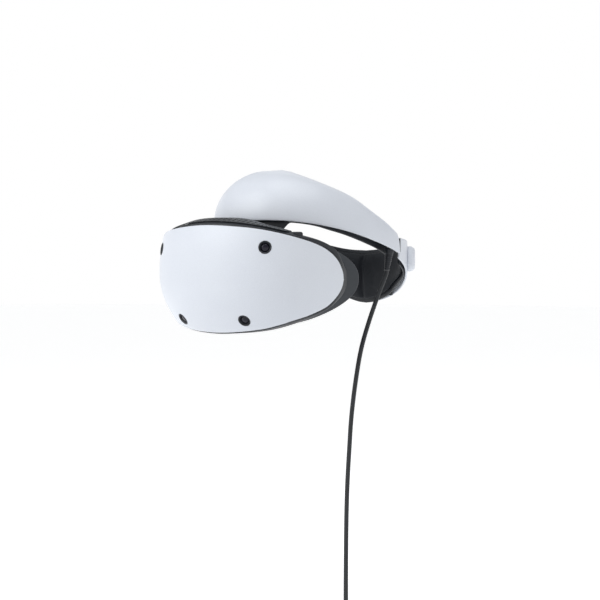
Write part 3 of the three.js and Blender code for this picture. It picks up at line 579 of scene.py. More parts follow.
def rubber(name, low, high):
    """Soft matt rubber with a powdery bloom."""
    paint = Paint(name, Sheen_Weight=0.12, Sheen_Roughness=0.5, Specular_IOR_Level=0.4)
    bloom = paint.noise(28, 5)
    pores = paint.noise(2600, 2)
    base = paint.ramp(bloom, [(0.3, low), (0.7, high)])
    dust = paint.ramp(pores, [(0.55, (1.0, 1.0, 1.0)), (0.75, (1.25, 1.25, 1.25))])
    paint.colour(paint.mix(1.0, base, dust, "MULTIPLY"))
    paint.roughness(paint.ranged(bloom, 0.58, 0.72))
    return paint.bump(pores, 0.00006, 0.3).bump(bloom, 0.0003, 0.1).material


def jacket(name):
    """Extruded cord jacket: fine draw lines along it and slight scuffs."""
    paint = Paint(name, Specular_IOR_Level=0.5)
    lines = paint.noise(1.0, 2, paint.stretched((2400, 2400, 220)))
    scuff = paint.noise(120, 5)
    paint.colour(paint.ramp(scuff, [(0.35, (0.010, 0.012, 0.015)), (0.75, (0.021, 0.023, 0.027))]))
    paint.roughness(paint.ranged(scuff, 0.38, 0.55))
    return paint.bump(lines, 0.00005, 0.3).material


def leather(name):
    """Soft synthetic leather: pebbled grain with fine creases, with painted light on the pebble tops and
    painted shade in the creases between them.
    """
    paint = Paint(name, Sheen_Weight=0.03, Sheen_Roughness=0.4, Specular_IOR_Level=0.14)
    pebble = paint.cells(1100)
    crease = paint.cells(420, "DISTANCE_TO_EDGE")
    drift = paint.noise(22, 5)
    base = paint.ramp(drift, [(0.3, (0.0075, 0.009, 0.012)), (0.7, (0.014, 0.0165, 0.021))])
    # Painted light and shade: each pebble is painted lighter at its centre and darker towards the creases at
    # its edge.
    painted_pebble_shade = paint.ramp(pebble, [(0.0, (1.12, 1.12, 1.12)), (0.8, (0.78, 0.78, 0.78))])
    paint.colour(paint.mix(1.0, base, painted_pebble_shade, "MULTIPLY"))
    paint.roughness(paint.ranged(drift, 0.46, 0.60))
    paint.bump(crease, 0.00015, 0.2)
    return paint.bump(pebble, -0.00012, 0.45).material


def lens_glass(name):
    """Clear moulded lens with a faint coating."""
    paint = Paint(
        name, Transmission_Weight=0.9, IOR=1.49, Coat_Weight=0.5, Coat_Roughness=0.02,
    )
    haze = paint.noise(60, 4)
    paint.colour(paint.ramp(haze, [(0.3, (0.72, 0.80, 0.90)), (0.7, (0.80, 0.82, 0.95))]))
    paint.roughness(paint.ranged(haze, 0.02, 0.06))
    return paint.material


def camera_glass(name):
    """Dark filter glass of the tracking cameras, with a violet coating tint."""
    paint = Paint(name, Coat_Weight=0.3, Coat_Roughness=0.03, Specular_IOR_Level=0.2)
    tint = paint.noise(180, 2)
    paint.colour(paint.ramp(tint, [(0.3, (0.004, 0.005, 0.010)), (0.7, (0.012, 0.010, 0.022))]))
    paint.roughness(paint.ranged(tint, 0.06, 0.12))
    return paint.material


def circuit(name):
    """Solder mask with copper tracks under it."""
    paint = Paint(name, Coat_Weight=0.4, Coat_Roughness=0.12)
    tracks = paint.cells(260, "DISTANCE_TO_EDGE", paint.stretched((1, 1, 1.6)))
    paint.colour(paint.ramp(tracks, [(0.04, (0.035, 0.16, 0.085)), (0.12, (0.008, 0.06, 0.035))]))
    paint.roughness(paint.ranged(paint.noise(300, 3), 0.3, 0.5))
    return paint.bump(tracks, 0.00006, 0.5).material


def steel(name, colour, rough):
    """Machined steel with fine brushed lines."""
    paint = Paint(name, Metallic=1.0)
    lines = paint.noise(1.0, 3, paint.stretched((300, 300, 5200)))
    light, dark = (tuple(c * k for c in colour) for k in (1.08, 0.86))
    paint.colour(paint.ramp(lines, [(0.3, dark), (0.7, light)]))
    paint.roughness(paint.ranged(lines, *rough))
    return paint.bump(lines, 0.00002, 0.3).material


# ------------------------------------------------------------------ camera, lights and stage

VIEW_AZIMUTH = 41.5
VIEW_ELEVATION = 1.0
VIEW_DISTANCE = 1.5
VIEW_TARGET = Vector((0, 0, -0.022))
VIEW_LENS = 88.6
VIEW_SHIFT = -0.0025

KEY_AZIMUTH = -30
KEY_POWER = 12.0
SIDE_POWER = 0.7
TOP_POWER = 14.5
REAR_POWER = 3.0
WALL_TOP = 0.24  # sine of the height where the white wall ends
CEILING_START = 0.32
CEILING = 0.38
FLOOR_GLOW = 0.575
FLOOR_SHADE = (0.42, -0.48, 0)  # the floor glows less round this point, in front of the visor


def direction_from(azimuth, elevation):
    a, e = math.radians(azimuth), math.radians(elevation)
    return Vector((math.sin(a) * math.cos(e), -math.cos(a) * math.cos(e), math.sin(e)))


def make_camera():
    data = bpy.data.cameras.new("view")
    data.lens = VIEW_LENS
    data.shift_x = VIEW_SHIFT
    camera = bpy.data.objects.new("view", data)
    outward = direction_from(VIEW_AZIMUTH, VIEW_ELEVATION)
    camera.location = VIEW_TARGET + outward * VIEW_DISTANCE
    camera.rotation_mode = "QUATERNION"
    camera.rotation_quaternion = (-outward).to_track_quat("-Z", "Y")
    bpy.context.scene.collection.objects.link(camera)
    bpy.context.scene.camera = camera


def softbox(name, azimuth, elevation, distance, size, power, colour=(1, 1, 1), aim=(0, 0, 0)):
    data = bpy.data.lights.new(name, "AREA")
    data.shape = "RECTANGLE"
    data.size, data.size_y = size
    data.energy = power
    data.color = colour
    light = bpy.data.objects.new(name, data)
    outward = direction_from(azimuth, elevation)
    light.location = Vector(aim) + outward * distance
    light.rotation_mode = "QUATERNION"
    light.rotation_quaternion = outward.to_track_quat("Z", "Y")
    bpy.context.scene.collection.objects.link(light)


def make_lights():
    softbox("key", KEY_AZIMUTH, 33, 1.7, (1.3, 1.1), KEY_POWER, (0.97, 0.985, 1.0))
    softbox("side", 95, 30, 2.0, (1.0, 1.4), SIDE_POWER, (0.97, 0.98, 1.0))
    softbox("top", 60, 80, 1.8, (1.6, 1.6), TOP_POWER, (0.96, 0.98, 1.0))
    softbox("rear", 205, 35, 2.0, (1.6, 1.2), REAR_POWER, (0.98, 0.99, 1.0))
    bpy.context.scene.view_settings.view_transform = "Standard"


def make_world():
    """A white studio wall round the horizon that darkens towards the ceiling."""
    world = bpy.data.worlds.new("studio")
    world.use_nodes = True
    nodes, links = world.node_tree.nodes, world.node_tree.links
    place = nodes.new("ShaderNodeTexCoord")
    split = nodes.new("ShaderNodeSeparateXYZ")
    wall = nodes.new("ShaderNodeValToRGB")
    links.new(place.outputs["Generated"], split.inputs["Vector"])
    links.new(split.outputs["Z"], wall.inputs["Fac"])
    links.new(wall.outputs["Color"], nodes["Background"].inputs["Color"])
    elements = wall.color_ramp.elements
    elements.new(0.5)
    levels = ((WALL_TOP, 1.0), (CEILING_START, CEILING), (1.0, CEILING))
    for element, (height, light) in zip(elements, levels):
        element.position = height
        element.color = (light * 0.985, light * 0.993, light, 1)
    elements[0].color = (1, 1, 1, 1)
    bpy.context.scene.world = world


def make_stage():
    """A pale floor that stands under the hanging lead and reaches out of sight."""
    half, edge = 14.0, 0.2
    ring = [(-half, -half), (half, -half), (half, half), (-half, half)]
    outline = filleted(ring, 6.0, closed=True, steps=16)
    levels = [FLOOR_Z - 0.0005, FLOOR_Z - 0.0005 - edge]
    rings = [[(x, y, z) for x, y in outline] for z in levels]
    floor = lofted("floor", rings)
    paint = Paint("floor_paper", Roughness=0.9, Specular_IOR_Level=0.1)
    paint.colour(paint.ramp(paint.noise(3, 3), [(0.3, (0.93, 0.935, 0.94)), (0.7, (0.95, 0.955, 0.96))]))
    nearness = paint.tree.nodes.new("ShaderNodeTexGradient")
    nearness.gradient_type = "SPHERICAL"
    paint.link(paint.stretched((0.5, 0.5, 0.0)), nearness.inputs["Vector"])
    glow = paint.ramp(nearness.outputs["Fac"], [(0.45, (1, 1, 1)), (0.75, (0.2, 0.2, 0.2))])
    paint.link(glow, paint.shader.inputs["Emission Color"])
    paint.shader.inputs["Emission Strength"].default_value = FLOOR_GLOW
    floor.data.materials.append(paint.material)
    floor.location = FLOOR_SHADE


# ------------------------------------------------------------------ lead

PITCH = 0.00455  # from one turn of the coil to the next
COIL_COLUMNS = 6
SHIFT_ANGLE = math.radians(60)  # over which the lead moves from one turn to the next
COIL_STEP = math.radians(10)


def coil_slots():
    """Column and layer of each turn, from the top of the coil down."""
    inwards = list(range(COIL_COLUMNS - 1, -1, -1))
    top = [(column, 3) for column in (4, 3, 2, 1)]
    return (
        top + [(c, 2) for c in inwards[::-1]] + [(c, 1) for c in inwards] + [(c, 0) for c in inwards[::-1]]
    )


def slot_place(column, layer):
    """Radius and height of a turn's centreline."""
    radius = COIL_MIDDLE_RADIUS + (column - (COIL_COLUMNS - 1) / 2) * PITCH
    return np.array([radius, FLOOR_Z + CORD_DIAMETER / 2 + 0.0001 + layer * PITCH])


def coil_points(landing):
    """The lead from where it lands on the coil, through its turns, to the plug."""
    places = [slot_place(*s) for s in coil_slots()]
    lead_in = math.radians(216)
    total = lead_in + len(places) * 2 * math.pi
    tail_start = total + math.radians(234)
    beside = np.array([0.0430, places[-1][1]])
    tail = [np.array([0.04335, FLOOR_Z + CORD_DIAMETER / 2]), np.array([0.0478, PLUG_CENTRE.z])]
    angles = np.arange(COIL_STEP, tail_start + math.pi / 2 + COIL_STEP / 2, COIL_STEP)
    points = []
    for angle in angles:
        if angle < lead_in:
            across = lerp(landing[0], places[0][0], smooth(0, lead_in - SHIFT_ANGLE, angle))
            over = np.array([across, landing[1]])
            place = lerp(over, places[0], smooth(lead_in - SHIFT_ANGLE, lead_in, angle))
        elif angle < total:
            turn = int((angle - lead_in) / (2 * math.pi))
            left = lead_in + (turn + 1) * 2 * math.pi - angle
            after = places[turn + 1] if turn + 1 < len(places) else places[turn]
            place = lerp(places[turn], after, 1 - smooth(0, SHIFT_ANGLE, left))
        elif angle < tail_start:
            place = lerp(places[-1], beside, smooth(total, total + SHIFT_ANGLE, angle))
            place = lerp(place, tail[0], smooth(total + SHIFT_ANGLE, tail_start, angle))
        else:
            f = (angle - tail_start) / (math.pi / 2)
            place = np.array([lerp(tail[0][0], tail[1][0], smooth(0, 1, f)), lerp(tail[0][1], tail[1][1], f)])
        x = COIL_CENTRE.x + place[0] * math.cos(angle)
        y = COIL_CENTRE.y + place[0] * math.sin(angle)
        points.append((x, y, place[1]))
    return points


def centripetal(points, per_span):
    """A smooth curve through points whose spans differ in length."""
    points = np.array(points, float)
    ends = 2 * points[[0, -1]] - points[[1, -2]]
    padded = np.vstack([ends[:1], points, ends[1:]])
    knots = np.concatenate([[0], np.cumsum(np.linalg.norm(np.diff(padded, axis=0), axis=1) ** 0.5)])
    made = []
    for i in range(1, len(padded) - 2):
        p = padded[i - 1:i + 3]
        k = knots[i - 1:i + 3]
        for t in np.linspace(k[1], k[2], per_span, endpoint=False):
            a = [((k[j + 1] - t) * p[j] + (t - k[j]) * p[j + 1]) / (k[j + 1] - k[j]) for j in range(3)]
            b = [((k[j + 2] - t) * a[j] + (t - k[j]) * a[j + 1]) / (k[j + 2] - k[j]) for j in range(2)]
            made.append(((k[2] - t) * b[0] + (t - k[1]) * b[1]) / (k[2] - k[1]))
    return made + [points[-1]]


PLUG_LOW, PLUG_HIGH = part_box("plug_body")
PLUG_CENTRE = (PLUG_LOW + PLUG_HIGH) / 2


def make_lead():
    """The whole lead as one curve: it hangs, lands on its own coil and ends in the plug."""
    landing_z = FLOOR_Z + (COIL_HIGH.z - FLOOR_Z) + 0.0003 + CORD_DIAMETER / 2
    landing = []
    for i in range(7):
        turn = i / 6 * math.pi / 2
        y = COIL_CENTRE.y - LANDING_RADIUS * math.cos(turn)
        landing.append((CORD_X, y, landing_z + LANDING_RADIUS * (1 - math.sin(turn))))
    points = centripetal(CORD_ROUTE + landing, 5)
    points += coil_points((CORD_X - COIL_CENTRE.x, landing_z))
    points.append((PLUG_CENTRE.x, PLUG_HIGH.y - 0.0012, PLUG_CENTRE.z))
    curve = bpy.data.curves.new("lead", "CURVE")
    curve.dimensions = "3D"
    curve.bevel_depth = CORD_DIAMETER / 2
    curve.bevel_resolution = 4
    curve.use_fill_caps = True
    spline = curve.splines.new("POLY")
    spline.points.add(len(points) - 1)
    for knot, point in zip(spline.points, points):
        knot.co = (*point, 1)
    spline.use_smooth = True
    lead = bpy.data.objects.new("lead", curve)
    bpy.context.scene.collection.objects.link(lead)
    settle(lead, "cord_jacket", "headband", stands_for=("cord_tube", "cord_coil", "cord_tail"))
    return lead


def stadium(half_width, half_height, count=12):
    """A closed outline with round ends, as (across, up) pairs."""
    arc = np.linspace(-math.pi / 2, math.pi / 2, count)
    x = half_width - half_height + half_height * np.cos(arc)
    z = half_height * np.sin(arc)
    return np.concatenate([np.stack([x, z], 1), np.stack([-x, -z], 1)])


def make_plug():
    """A flat plug with a grip, a boot and a hollow metal end."""
    back, front = PLUG_HIGH.y, PLUG_LOW.y
    half_width, half_height = (PLUG_HIGH.x - PLUG_LOW.x) / 2, (PLUG_HIGH.z - PLUG_LOW.z) / 2
    rings = []

    def ring(y, inset):
        outline = stadium(half_width - inset, half_height - inset)
        rings.append([(PLUG_CENTRE.x + x, y, PLUG_CENTRE.z + z) for x, z in outline])

    for distance, inset in ((0, 0.0007), (0.0001, 0.0003), (0.0004, 0.0001), (0.0008, 0)):
        ring(back - distance, inset)
    for k in range(5):
        groove = back - 0.0035 - k * 0.0014
        for shift, inset in ((0.00035, 0), (0.0002, 0.0003), (-0.0002, 0.0003), (-0.00035, 0)):
            ring(groove + shift, inset)
    for distance, inset in ((0.0008, 0), (0.0004, 0.0001), (0.0001, 0.0003), (0, 0.0007)):
        ring(front + distance, inset)
    grip = settle(lofted("plug_grip", rings), "black_plastic", "headband", stands_for=("plug_body",))
    low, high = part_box("plug_shell")
    middle = (low + high) / 2
    wide, tall, wall, depth = (high.x - low.x) / 2, (high.z - low.z) / 2, 0.00035, 0.0055
    sleeve = []
    for y, inset in (
        (high.y, 0.0), (low.y + 0.00025, 0.0), (low.y, 0.00012), (low.y, wall - 0.0001),
        (low.y + 0.0002, wall), (low.y + depth, wall),
    ):
        outline = stadium(wide - inset, tall - inset)
        sleeve.append([(middle.x + x, y, middle.z + z) for x, z in outline])
    shell = lofted("sleeve", sleeve)
    tongue = []
    for y, inset in ((low.y + depth, 0), (low.y + 0.0008, 0), (low.y + 0.0006, 0.0001)):
        outline = stadium(wide - 0.0011 - inset, 0.00035 - inset, 4)
        tongue.append([(middle.x + x, y, middle.z + z) for x, z in outline])
    sleeve_piece = joined("plug_sleeve", [shell, lofted("tongue", tongue)])
    settle(sleeve_piece, "plug_steel", "headband", stands_for=("plug_shell",))
    return [grip, sleeve_piece]


def make_tie():
    """A soft strap over the coil."""
    low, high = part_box("coil_tie")
    middle = (low + high) / 2
    half, top = (high.y - low.y) / 2, high.z - FLOOR_Z
    outline = [(-half, 0), (-half, top), (half, top), (half, 0)]
    line = filleted(outline, 0.0075, steps=10)
    run = np.concatenate([[0], np.cumsum(np.linalg.norm(np.diff(line, axis=0), axis=1))])

    def strap(u, v, depth):
        u, v, depth = np.broadcast_arrays(u, v, depth)
        place = [np.interp(u * run[-1], run, line[:, k]) for k in (0, 1)]
        ahead = [np.interp(u * run[-1] + 2e-4, run, line[:, k]) for k in (0, 1)]
        behind = [np.interp(u * run[-1] - 2e-4, run, line[:, k]) for k in (0, 1)]
        across = [a - b for a, b in zip(ahead, behind)]
        size = np.hypot(*across)
        y = place[0] + across[1] / size * depth
        z = place[1] - across[0] / size * depth
        x = middle.x + lerp(-0.0045, 0.0045, v)
        return np.stack([x, middle.y + y, FLOOR_Z + z], -1)

    tie = slab("lead_tie", strap, 0.0011, 0.0004, np.linspace(0, 1, 60), np.linspace(0, 1, 8))
    return settle(tie, "shield_rubber", "headband", stands_for=("coil_tie",))


def make_gland():
    """The tapered, ribbed strain relief under the left side of the band."""
    length = (GLAND_BOTTOM - GLAND_TOP).length
    outline = [(0, 0), (0.0043, 0), (0.0043, 0.006)]
    ribs = 7
    for k in range(ribs):
        start = lerp(0.0066, length - 0.0022, k / ribs)
        pitch = (length - 0.0088) / ribs
        radius = lerp(0.00405, 0.00285, k / (ribs - 1))
        outline += [
            (radius, start), (radius, start + pitch * 0.62),
            (radius - 0.00055, start + pitch * 0.66), (radius - 0.00055, start + pitch * 0.96),
        ]
    outline += [(0.0027, length - 0.002), (0.0027, length), (0.0022, length), (0, length)]
    down = GLAND_BOTTOM - GLAND_TOP
    boot = turned("strain_relief", filleted(outline, 0.0003, steps=2), GLAND_TOP, down, 48)
    return settle(boot, "black_plastic", "headband", stands_for=("cable_gland",))


def make_cord_group():
    lead = make_lead()
    on_it = make_plug() + [make_tie()]
    make_gland()


# ------------------------------------------------------------------ front cover and cameras


def camera_spots():
    """Each camera's name, its point on the cover and its outward direction."""
    spots = []
    for level, (x, z) in CAMERA_SPOTS.items():
        s = np.linspace(0, 1, 4001)
        along = visor_point(s, z, 0.0)
        k = int(np.argmin(np.abs(along[:, 0] - x)))
        point = along[k]
        up = visor_point(s[k], z + 1e-4, 0.0) - point
        outward = unit(np.cross(visor_point(s[k] + 1e-3, z, 0.0) - point, up))
        for side, sign in (("left", 1), ("right", -1)):
            flip = np.array([sign, 1, 1])
            spots.append((f"{level}_{side}", point * flip, outward * flip))
    return spots


def visor_surface(u, v, depth):
    s = np.sin((u - 0.5) * math.pi)
    return visor_point(s, lerp(visor_bottom(s), visor_top(s), v), depth)


def make_visor():
    along = np.linspace(0, 1, 181)
    across = np.linspace(0, 1, 61)
    cover = slab("visor_cover", visor_surface, VISOR_THICKNESS, 0.0008, along, across, capped=False)
    holes = [
        plain_rod(point - outward * 0.008, outward, BEZEL_RADIUS + 0.00025, 0.014, 64)
        for _, point, outward in camera_spots()
    ]
    settle(cut(cover, *holes), "white_shell", "scope", stands_for=("visor_shell",))


def make_cameras():
    inner = LENS_RADIUS + 0.0003
    bezel = [
        (inner, 0), (BEZEL_RADIUS, 0), (BEZEL_RADIUS, 0.0082), (BEZEL_RADIUS - 0.0005, 0.0084),
        (inner + 0.0007, 0.0080), (inner + 0.0003, 0.0072), (inner, 0.0066), (inner, 0),
    ]
    dome = [(0, 0), (LENS_RADIUS, 0), (LENS_RADIUS, 0.0056)]
    for k in range(1, 13):
        a = k / 12 * math.pi / 2
        dome.append((LENS_RADIUS * math.cos(a), 0.0056 + 0.0015 * math.sin(a)))
    for name, point, outward in camera_spots():
        ring = turned(f"camera_ring_{name}", filleted(bezel, 0.0003), point - outward * 0.008, outward, 96)
        settle(ring, "black_plastic", "scope", stands_for=(f"camera_bezel_{name}",))
        glass = turned(f"camera_window_{name}", dome, point - outward * 0.0076, outward, 64)
        settle(glass, "camera_glass", "scope", stands_for=(f"camera_lens_{name}",))


# ------------------------------------------------------------------ scope housing


def rim_height(rim, x, upper):
    fall = np.maximum(0, 1 - np.abs(x / rim["half_width"]) ** RIM_POWER) ** (1 / RIM_POWER)
    over = rim["top"] * fall + rim["hump"] * np.exp(-((x / 0.045) ** 4))
    under = -rim["bottom"] * fall + NOSE_RISE * np.exp(-((x / NOSE_HALF_WIDTH) ** 2))
    return np.where(upper, over, under)


def wrap_y(middle_y, x, z):
    side = np.abs(x) / HOUSING_RIM["half_width"]
    return middle_y + SIDE_WRAP * side**2.5 - 10 * z**2 * side**4


def away_from_axis(p):
    return unit(np.stack([p[..., 0] * 0.45, np.zeros(p.shape[:-1]), p[..., 2]], -1))


def front_edge(angle, grow):
    """The edge of the housing's front wall, just behind the front cover's edge."""
    s = np.cos(angle)
    z = np.where(np.sin(angle) >= -1e-9, visor_top(s), visor_bottom(s)) + grow * np.sin(angle)
    point = visor_point(s, z, VISOR_THICKNESS + VISOR_GAP)
    point[..., 1] += grow * s**6
    return point


def rim_point(rim, angle, middle_y, grow=0.0):
    front_half_width = front_edge(np.zeros(1), 0.0)[0, 0]
    x = np.clip(front_edge(angle, 0.0)[..., 0] / front_half_width, -1, 1) * rim["half_width"]
    z = rim_height(rim, x, np.sin(angle) >= -1e-9)
    point = np.stack([x, wrap_y(middle_y, x, z), z], -1)
    return point + away_from_axis(point) * grow


def swell(point, f):
    flat = np.minimum(1, (point[..., 2] / 0.024) ** 2)
    side = smooth(0.078, 0.092, np.abs(point[..., 0]))
    top = lerp(HOUSING_BULGE["top"], HOUSING_BULGE["shoulder"], side)
    bulge = np.where(point[..., 2] > 0, top, HOUSING_BULGE["bottom"])
    return bulge * np.sin(math.pi * f) * flat


RING_ANGLES = np.arange(240) * 2 * math.pi / 240


def housing_ring(f, inset, back=0.0, angle=RING_ANGLES):
    """One ring of the housing wall: f is 0 at the front cover and 1 at the rear rim."""
    point = lerp(front_edge(angle, HOUSING_LIP), rim_point(HOUSING_RIM, angle, HOUSING_REAR_Y), f)
    point = point + away_from_axis(point) * (swell(point, f) - inset)[..., None]
    point[..., 1] += inset * (1 - f) + back
    return point


def front_ring(k, depth):
    s = np.cos(RING_ANGLES)
    z = np.where(np.sin(RING_ANGLES) >= -1e-9, visor_top(s), visor_bottom(s))
    return visor_point(s * k, z * k, VISOR_THICKNESS + VISOR_GAP + depth)


def make_housing():
    scales = [0.04, 0.2, 0.4, 0.6, 0.8, 0.93]
    seam = [(0.835, 0), (0.8385, 0.0005), (0.8455, 0.0005), (0.849, 0)]
    before = [(f, 0) for f in (0, 0.05, 0.1, 0.2, 0.3, 0.4, 0.5, 0.6, 0.7, 0.78)]
    walls = before + seam + [(0.9, 0), (0.96, 0)]
    rim = 0.0011
    rings = [front_ring(k, 0) for k in scales] + [housing_ring(f, inset) for f, inset in walls]
    for k in range(9):
        a = k / 8 * math.pi
        rings.append(housing_ring(1, rim * (1 - math.cos(a)), rim * (math.sin(a) - 1)))
    rings += [housing_ring(f, HOUSING_WALL) for f in (0.9, 0.7, 0.4, 0.1)]
    rings += [front_ring(k * 0.97, HOUSING_WALL) for k in scales[::-1]]
    housing = lofted("scope_body", rings, sharp=55)
    cutters = []
    for node in ("ipd_dial", "scope_button"):
        low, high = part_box(node)
        x, y = (low.x + high.x) / 2, (low.y + high.y) / 2
        radius = (high.x - low.x) / 2
        cutters.append(plain_rod((x, y, high.z - 0.0056), (0, 0, 1), radius + 0.0005, 0.03))
        cutters.append(plain_rod((x, y, low.z - 0.004), (0, 0, 1), 0.0033, 0.05))
    for node in ("power_button", "function_button"):
        low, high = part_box(node)
        x, y = (low.x + high.x) / 2, (low.y + high.y) / 2
        cutters.append(plain_rod((x, y, low.z - 0.01), (0, 0, 1), (high.x - low.x) / 2 + 0.0003, 0.024))
    for _, point, outward in camera_spots():
        cutters.append(plain_rod(point - outward * 0.012, outward, BEZEL_RADIUS + 0.0003, 0.02))
    settle(cut(housing, *cutters), "black_plastic", "scope", stands_for=("scope_housing",))


def make_vents():
    """A raised strip of vent slots along the top of the housing."""
    slots = 34

    def strip(u, v, depth):
        angle = lerp(0.35, 0.65, u) * math.pi
        f = lerp(0.1, 0.3, v)
        rear = rim_point(HOUSING_RIM, angle, HOUSING_REAR_Y)
        point = lerp(front_edge(angle, HOUSING_LIP), rear, np.asarray(f)[..., None])
        wave = 0.5 + 0.5 * np.cos(u * slots * 2 * math.pi)
        groove = smooth(0.55, 0.75, wave) * smooth(0.12, 0.2, v) * smooth(0.12, 0.2, 1 - v)
        lift = 0.0015 - np.maximum(depth, 0.0004 * groove * (depth < 0.00045))
        return point + away_from_axis(point) * (swell(point, f) + lift)[..., None]

    along = np.linspace(0, 1, slots * 12 + 1)
    piece = slab("top_vents", strip, 0.0009, 0.0003, along, np.linspace(0, 1, 17))
    settle(piece, "dark_gloss", "scope", stands_for=("vent_strip",))


# ------------------------------------------------------------------ lens plate, shield and optics


def plate_ring(k, shift):
    edge = rim_point(SHIELD_RIM, RING_ANGLES, HOUSING_REAR_Y, -0.0006)
    x, z = edge[:, 0] * k, edge[:, 2] * k
    return np.stack([x, wrap_y(HOUSING_REAR_Y, x, z) + shift, z], -1)


def make_lens_plate():
    scales = [0.03, 0.15, 0.3, 0.45, 0.6, 0.72, 0.84, 0.93, 1]
    rings = [plate_ring(k, PLATE_SHIFT) for k in scales]
    rings += [plate_ring(k, PLATE_SHIFT - PLATE_THICKNESS) for k in scales[::-1]]
    plate = lofted("face_plate", rings)
    cutters = []
    for sign in (1, -1):
        arc = np.linspace(-math.pi / 2, math.pi / 2, 49)
        radius = BARREL_RADIUS + 0.0011
        x = EYE_TRAVEL + radius * np.cos(arc)
        z = radius * np.sin(arc)
        outline = np.concatenate([np.stack([x, z], 1), np.stack([-x, -z], 1)])
        rings = [[(sign * EYE_X + a, y, b) for a, b in outline] for y in (-0.123, -0.057)]
        cutters.append(lofted("cutter", rings))
    low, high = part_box("proximity_sensor")
    middle = (low + high) / 2
    hole_start = (middle.x, low.y - 0.01, middle.z)
    cutters.append(plain_rod(hole_start, (0, 1, 0), (high.x - low.x) / 2 + 0.0003, 0.05))
    settle(cut(plate, *cutters), "black_plastic", "scope", stands_for=("lens_plate",))
    radius = (high.x - low.x) / 2
    outline = [(0, 0), (radius, 0), (radius, high.y - low.y), (0, high.y - low.y)]
    window = turned("wear_sensor", filleted(outline, 0.0004), (middle.x, low.y, middle.z), (0, 1, 0), 40)
    settle(window, "camera_glass", "scope", stands_for=("proximity_sensor",))


def rim_sweep(name, outline, start_y, count=300):
    """A section swept round the light shield's rim; outline(edge) gives (inward, back) points."""
    angle = np.arange(count) * 2 * math.pi / count
    edges = rim_point(SHIELD_RIM, angle, start_y)
    outwards = away_from_axis(edges)
    sections = []
    for edge, outward in zip(edges, outwards):
        section = outline(edge)
        sections.append(edge - outward * section[:, :1] + np.array([0, 1, 0]) * section[:, 1:])
    return lofted(name, sections, looped=True, sharp=60)


def make_light_shield():
    frame_section = filleted(
        [(0, -0.0034), (0, 0.001), (0.0026, 0.001), (0.0026, -0.0034)], 0.0005, closed=True
    )
    base = rim_sweep("shield_base", lambda edge: frame_section, HOUSING_REAR_Y)
    settle(base, "black_plastic", "scope", stands_for=("light_shield_frame",))

    def skirt(edge):
        reach = abs(edge[0]) / SHIELD_RIM["half_width"]
        ear = max(0, 1 - ((edge[2] - TEMPLE_LOBE["z"]) / TEMPLE_LOBE["half_height"]) ** 2)
        depth = SHIELD_DEPTH + TEMPLE_LOBE["reach"] * reach**4 * ear
        nose = math.exp(-((edge[0] / 0.022) ** 2)) if edge[2] < 0 else 0.0
        lip = 0.012 * (1 - 0.75 * nose)
        outer = [(lerp(0, -0.002, f), lerp(0.0013, depth - 0.0015, f)) for f in np.linspace(0, 1, 12)]
        rest = [(-0.0012, depth), (lip * 0.5, depth - 0.0004), (lip, depth - 0.0012), (lip, depth - 0.0026),
                (0.0012, depth - 0.0024), (0.002, 0.0013)]
        return filleted(outer + rest, 0.0007, closed=True, steps=3)

    skin = rim_sweep("shield_skirt", skirt, HOUSING_REAR_Y, 360)
    settle(skin, "shield_rubber", "scope", stands_for=("light_shield",))


SCREW_SEAT = 0.0013  # the heads stand this far off the curved plate


def make_screws():
    """Pan heads with a hexagon socket."""
    for k in range(1, 5):
        node = f"lens_plate_screw_{k}"
        low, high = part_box(node)
        middle = (low + high) / 2
        x, z = middle.x, middle.z
        slope = float(wrap_y(0.0, x + 1e-3, z) - wrap_y(0.0, x, z)) * 1e3
        outward = unit(np.array([-slope, 1, 0]))
        seat = np.array([x, float(wrap_y(HOUSING_REAR_Y, x, z)) + PLATE_SHIFT, z]) + outward * SCREW_SEAT
        head = filleted([(0.0012, 0.0015), (0.0019, 0.0015), (0.0026, 0.0010), (0.0026, 0), (0, 0)], 0.0003)
        axis = axes_along(outward)
        angles = np.arange(48) * 2 * math.pi / 48
        rings = []
        for depth in (0.0004, 0.0014, 0.0015):
            reach = 0.0012 * math.cos(math.pi / 6) / np.cos((angles % (math.pi / 3)) - math.pi / 6)
            rings.append((reach, depth))
        rings += [(np.full(48, r), h) for r, h in head[1:]]
        shape = [
            seat + np.outer(r * np.cos(angles), axis[0]) + np.outer(r * np.sin(angles), axis[1]) + axis[2] * h
            for r, h in rings
        ]
        screw = lofted(f"face_screw_{k}", shape)
        settle(screw, "screw_steel", "scope", stands_for=(node,))


def make_optics():
    inner = BARREL_RADIUS - BARREL_WALL
    for side in ("left", "right"):
        body = f"{side}_optics"
        low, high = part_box(f"lens_barrel_{side}")
        x, length = (low.x + high.x) / 2, high.y - low.y
        wall = [
            (inner, 0), (BARREL_RADIUS - 0.001, 0), (BARREL_RADIUS, 0.001), (BARREL_RADIUS, length),
            (inner + 0.0004, length), (inner, length - 0.0006), (inner, 0),
        ]
        barrel = turned(f"eye_barrel_{side}", filleted(wall, 0.0003), (x, low.y, 0), (0, 1, 0), 128)
        settle(barrel, "black_plastic", body, stands_for=(f"lens_barrel_{side}",))
        low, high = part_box(f"lens_{side}")
        reach, depth = (high.x - low.x) / 2, high.y - low.y
        outline = [(0, 0), (reach, 0.0015), (reach, depth - 0.0029)]
        steps = 26
        for k in range(steps + 1):
            r = reach * (1 - k / steps)
            crown = depth - 0.0029 * (r / reach) ** 2
            outline += [(r, crown - 0.00014), (max(r - 0.0001, 0), crown)]
        lens = turned(f"eye_lens_{side}", outline, (x, low.y, 0), (0, 1, 0), 128)
        settle(lens, "lens_glass", body, stands_for=(f"lens_{side}",))


# ------------------------------------------------------------------ controls


def knurl(count, depth, reach):
    """Ridges round the widest part of a turned shape."""

    def ripple(radius, along, angle):
        return radius - depth * (0.5 - 0.5 * np.cos(count * angle)) * (radius > reach)

    return ripple


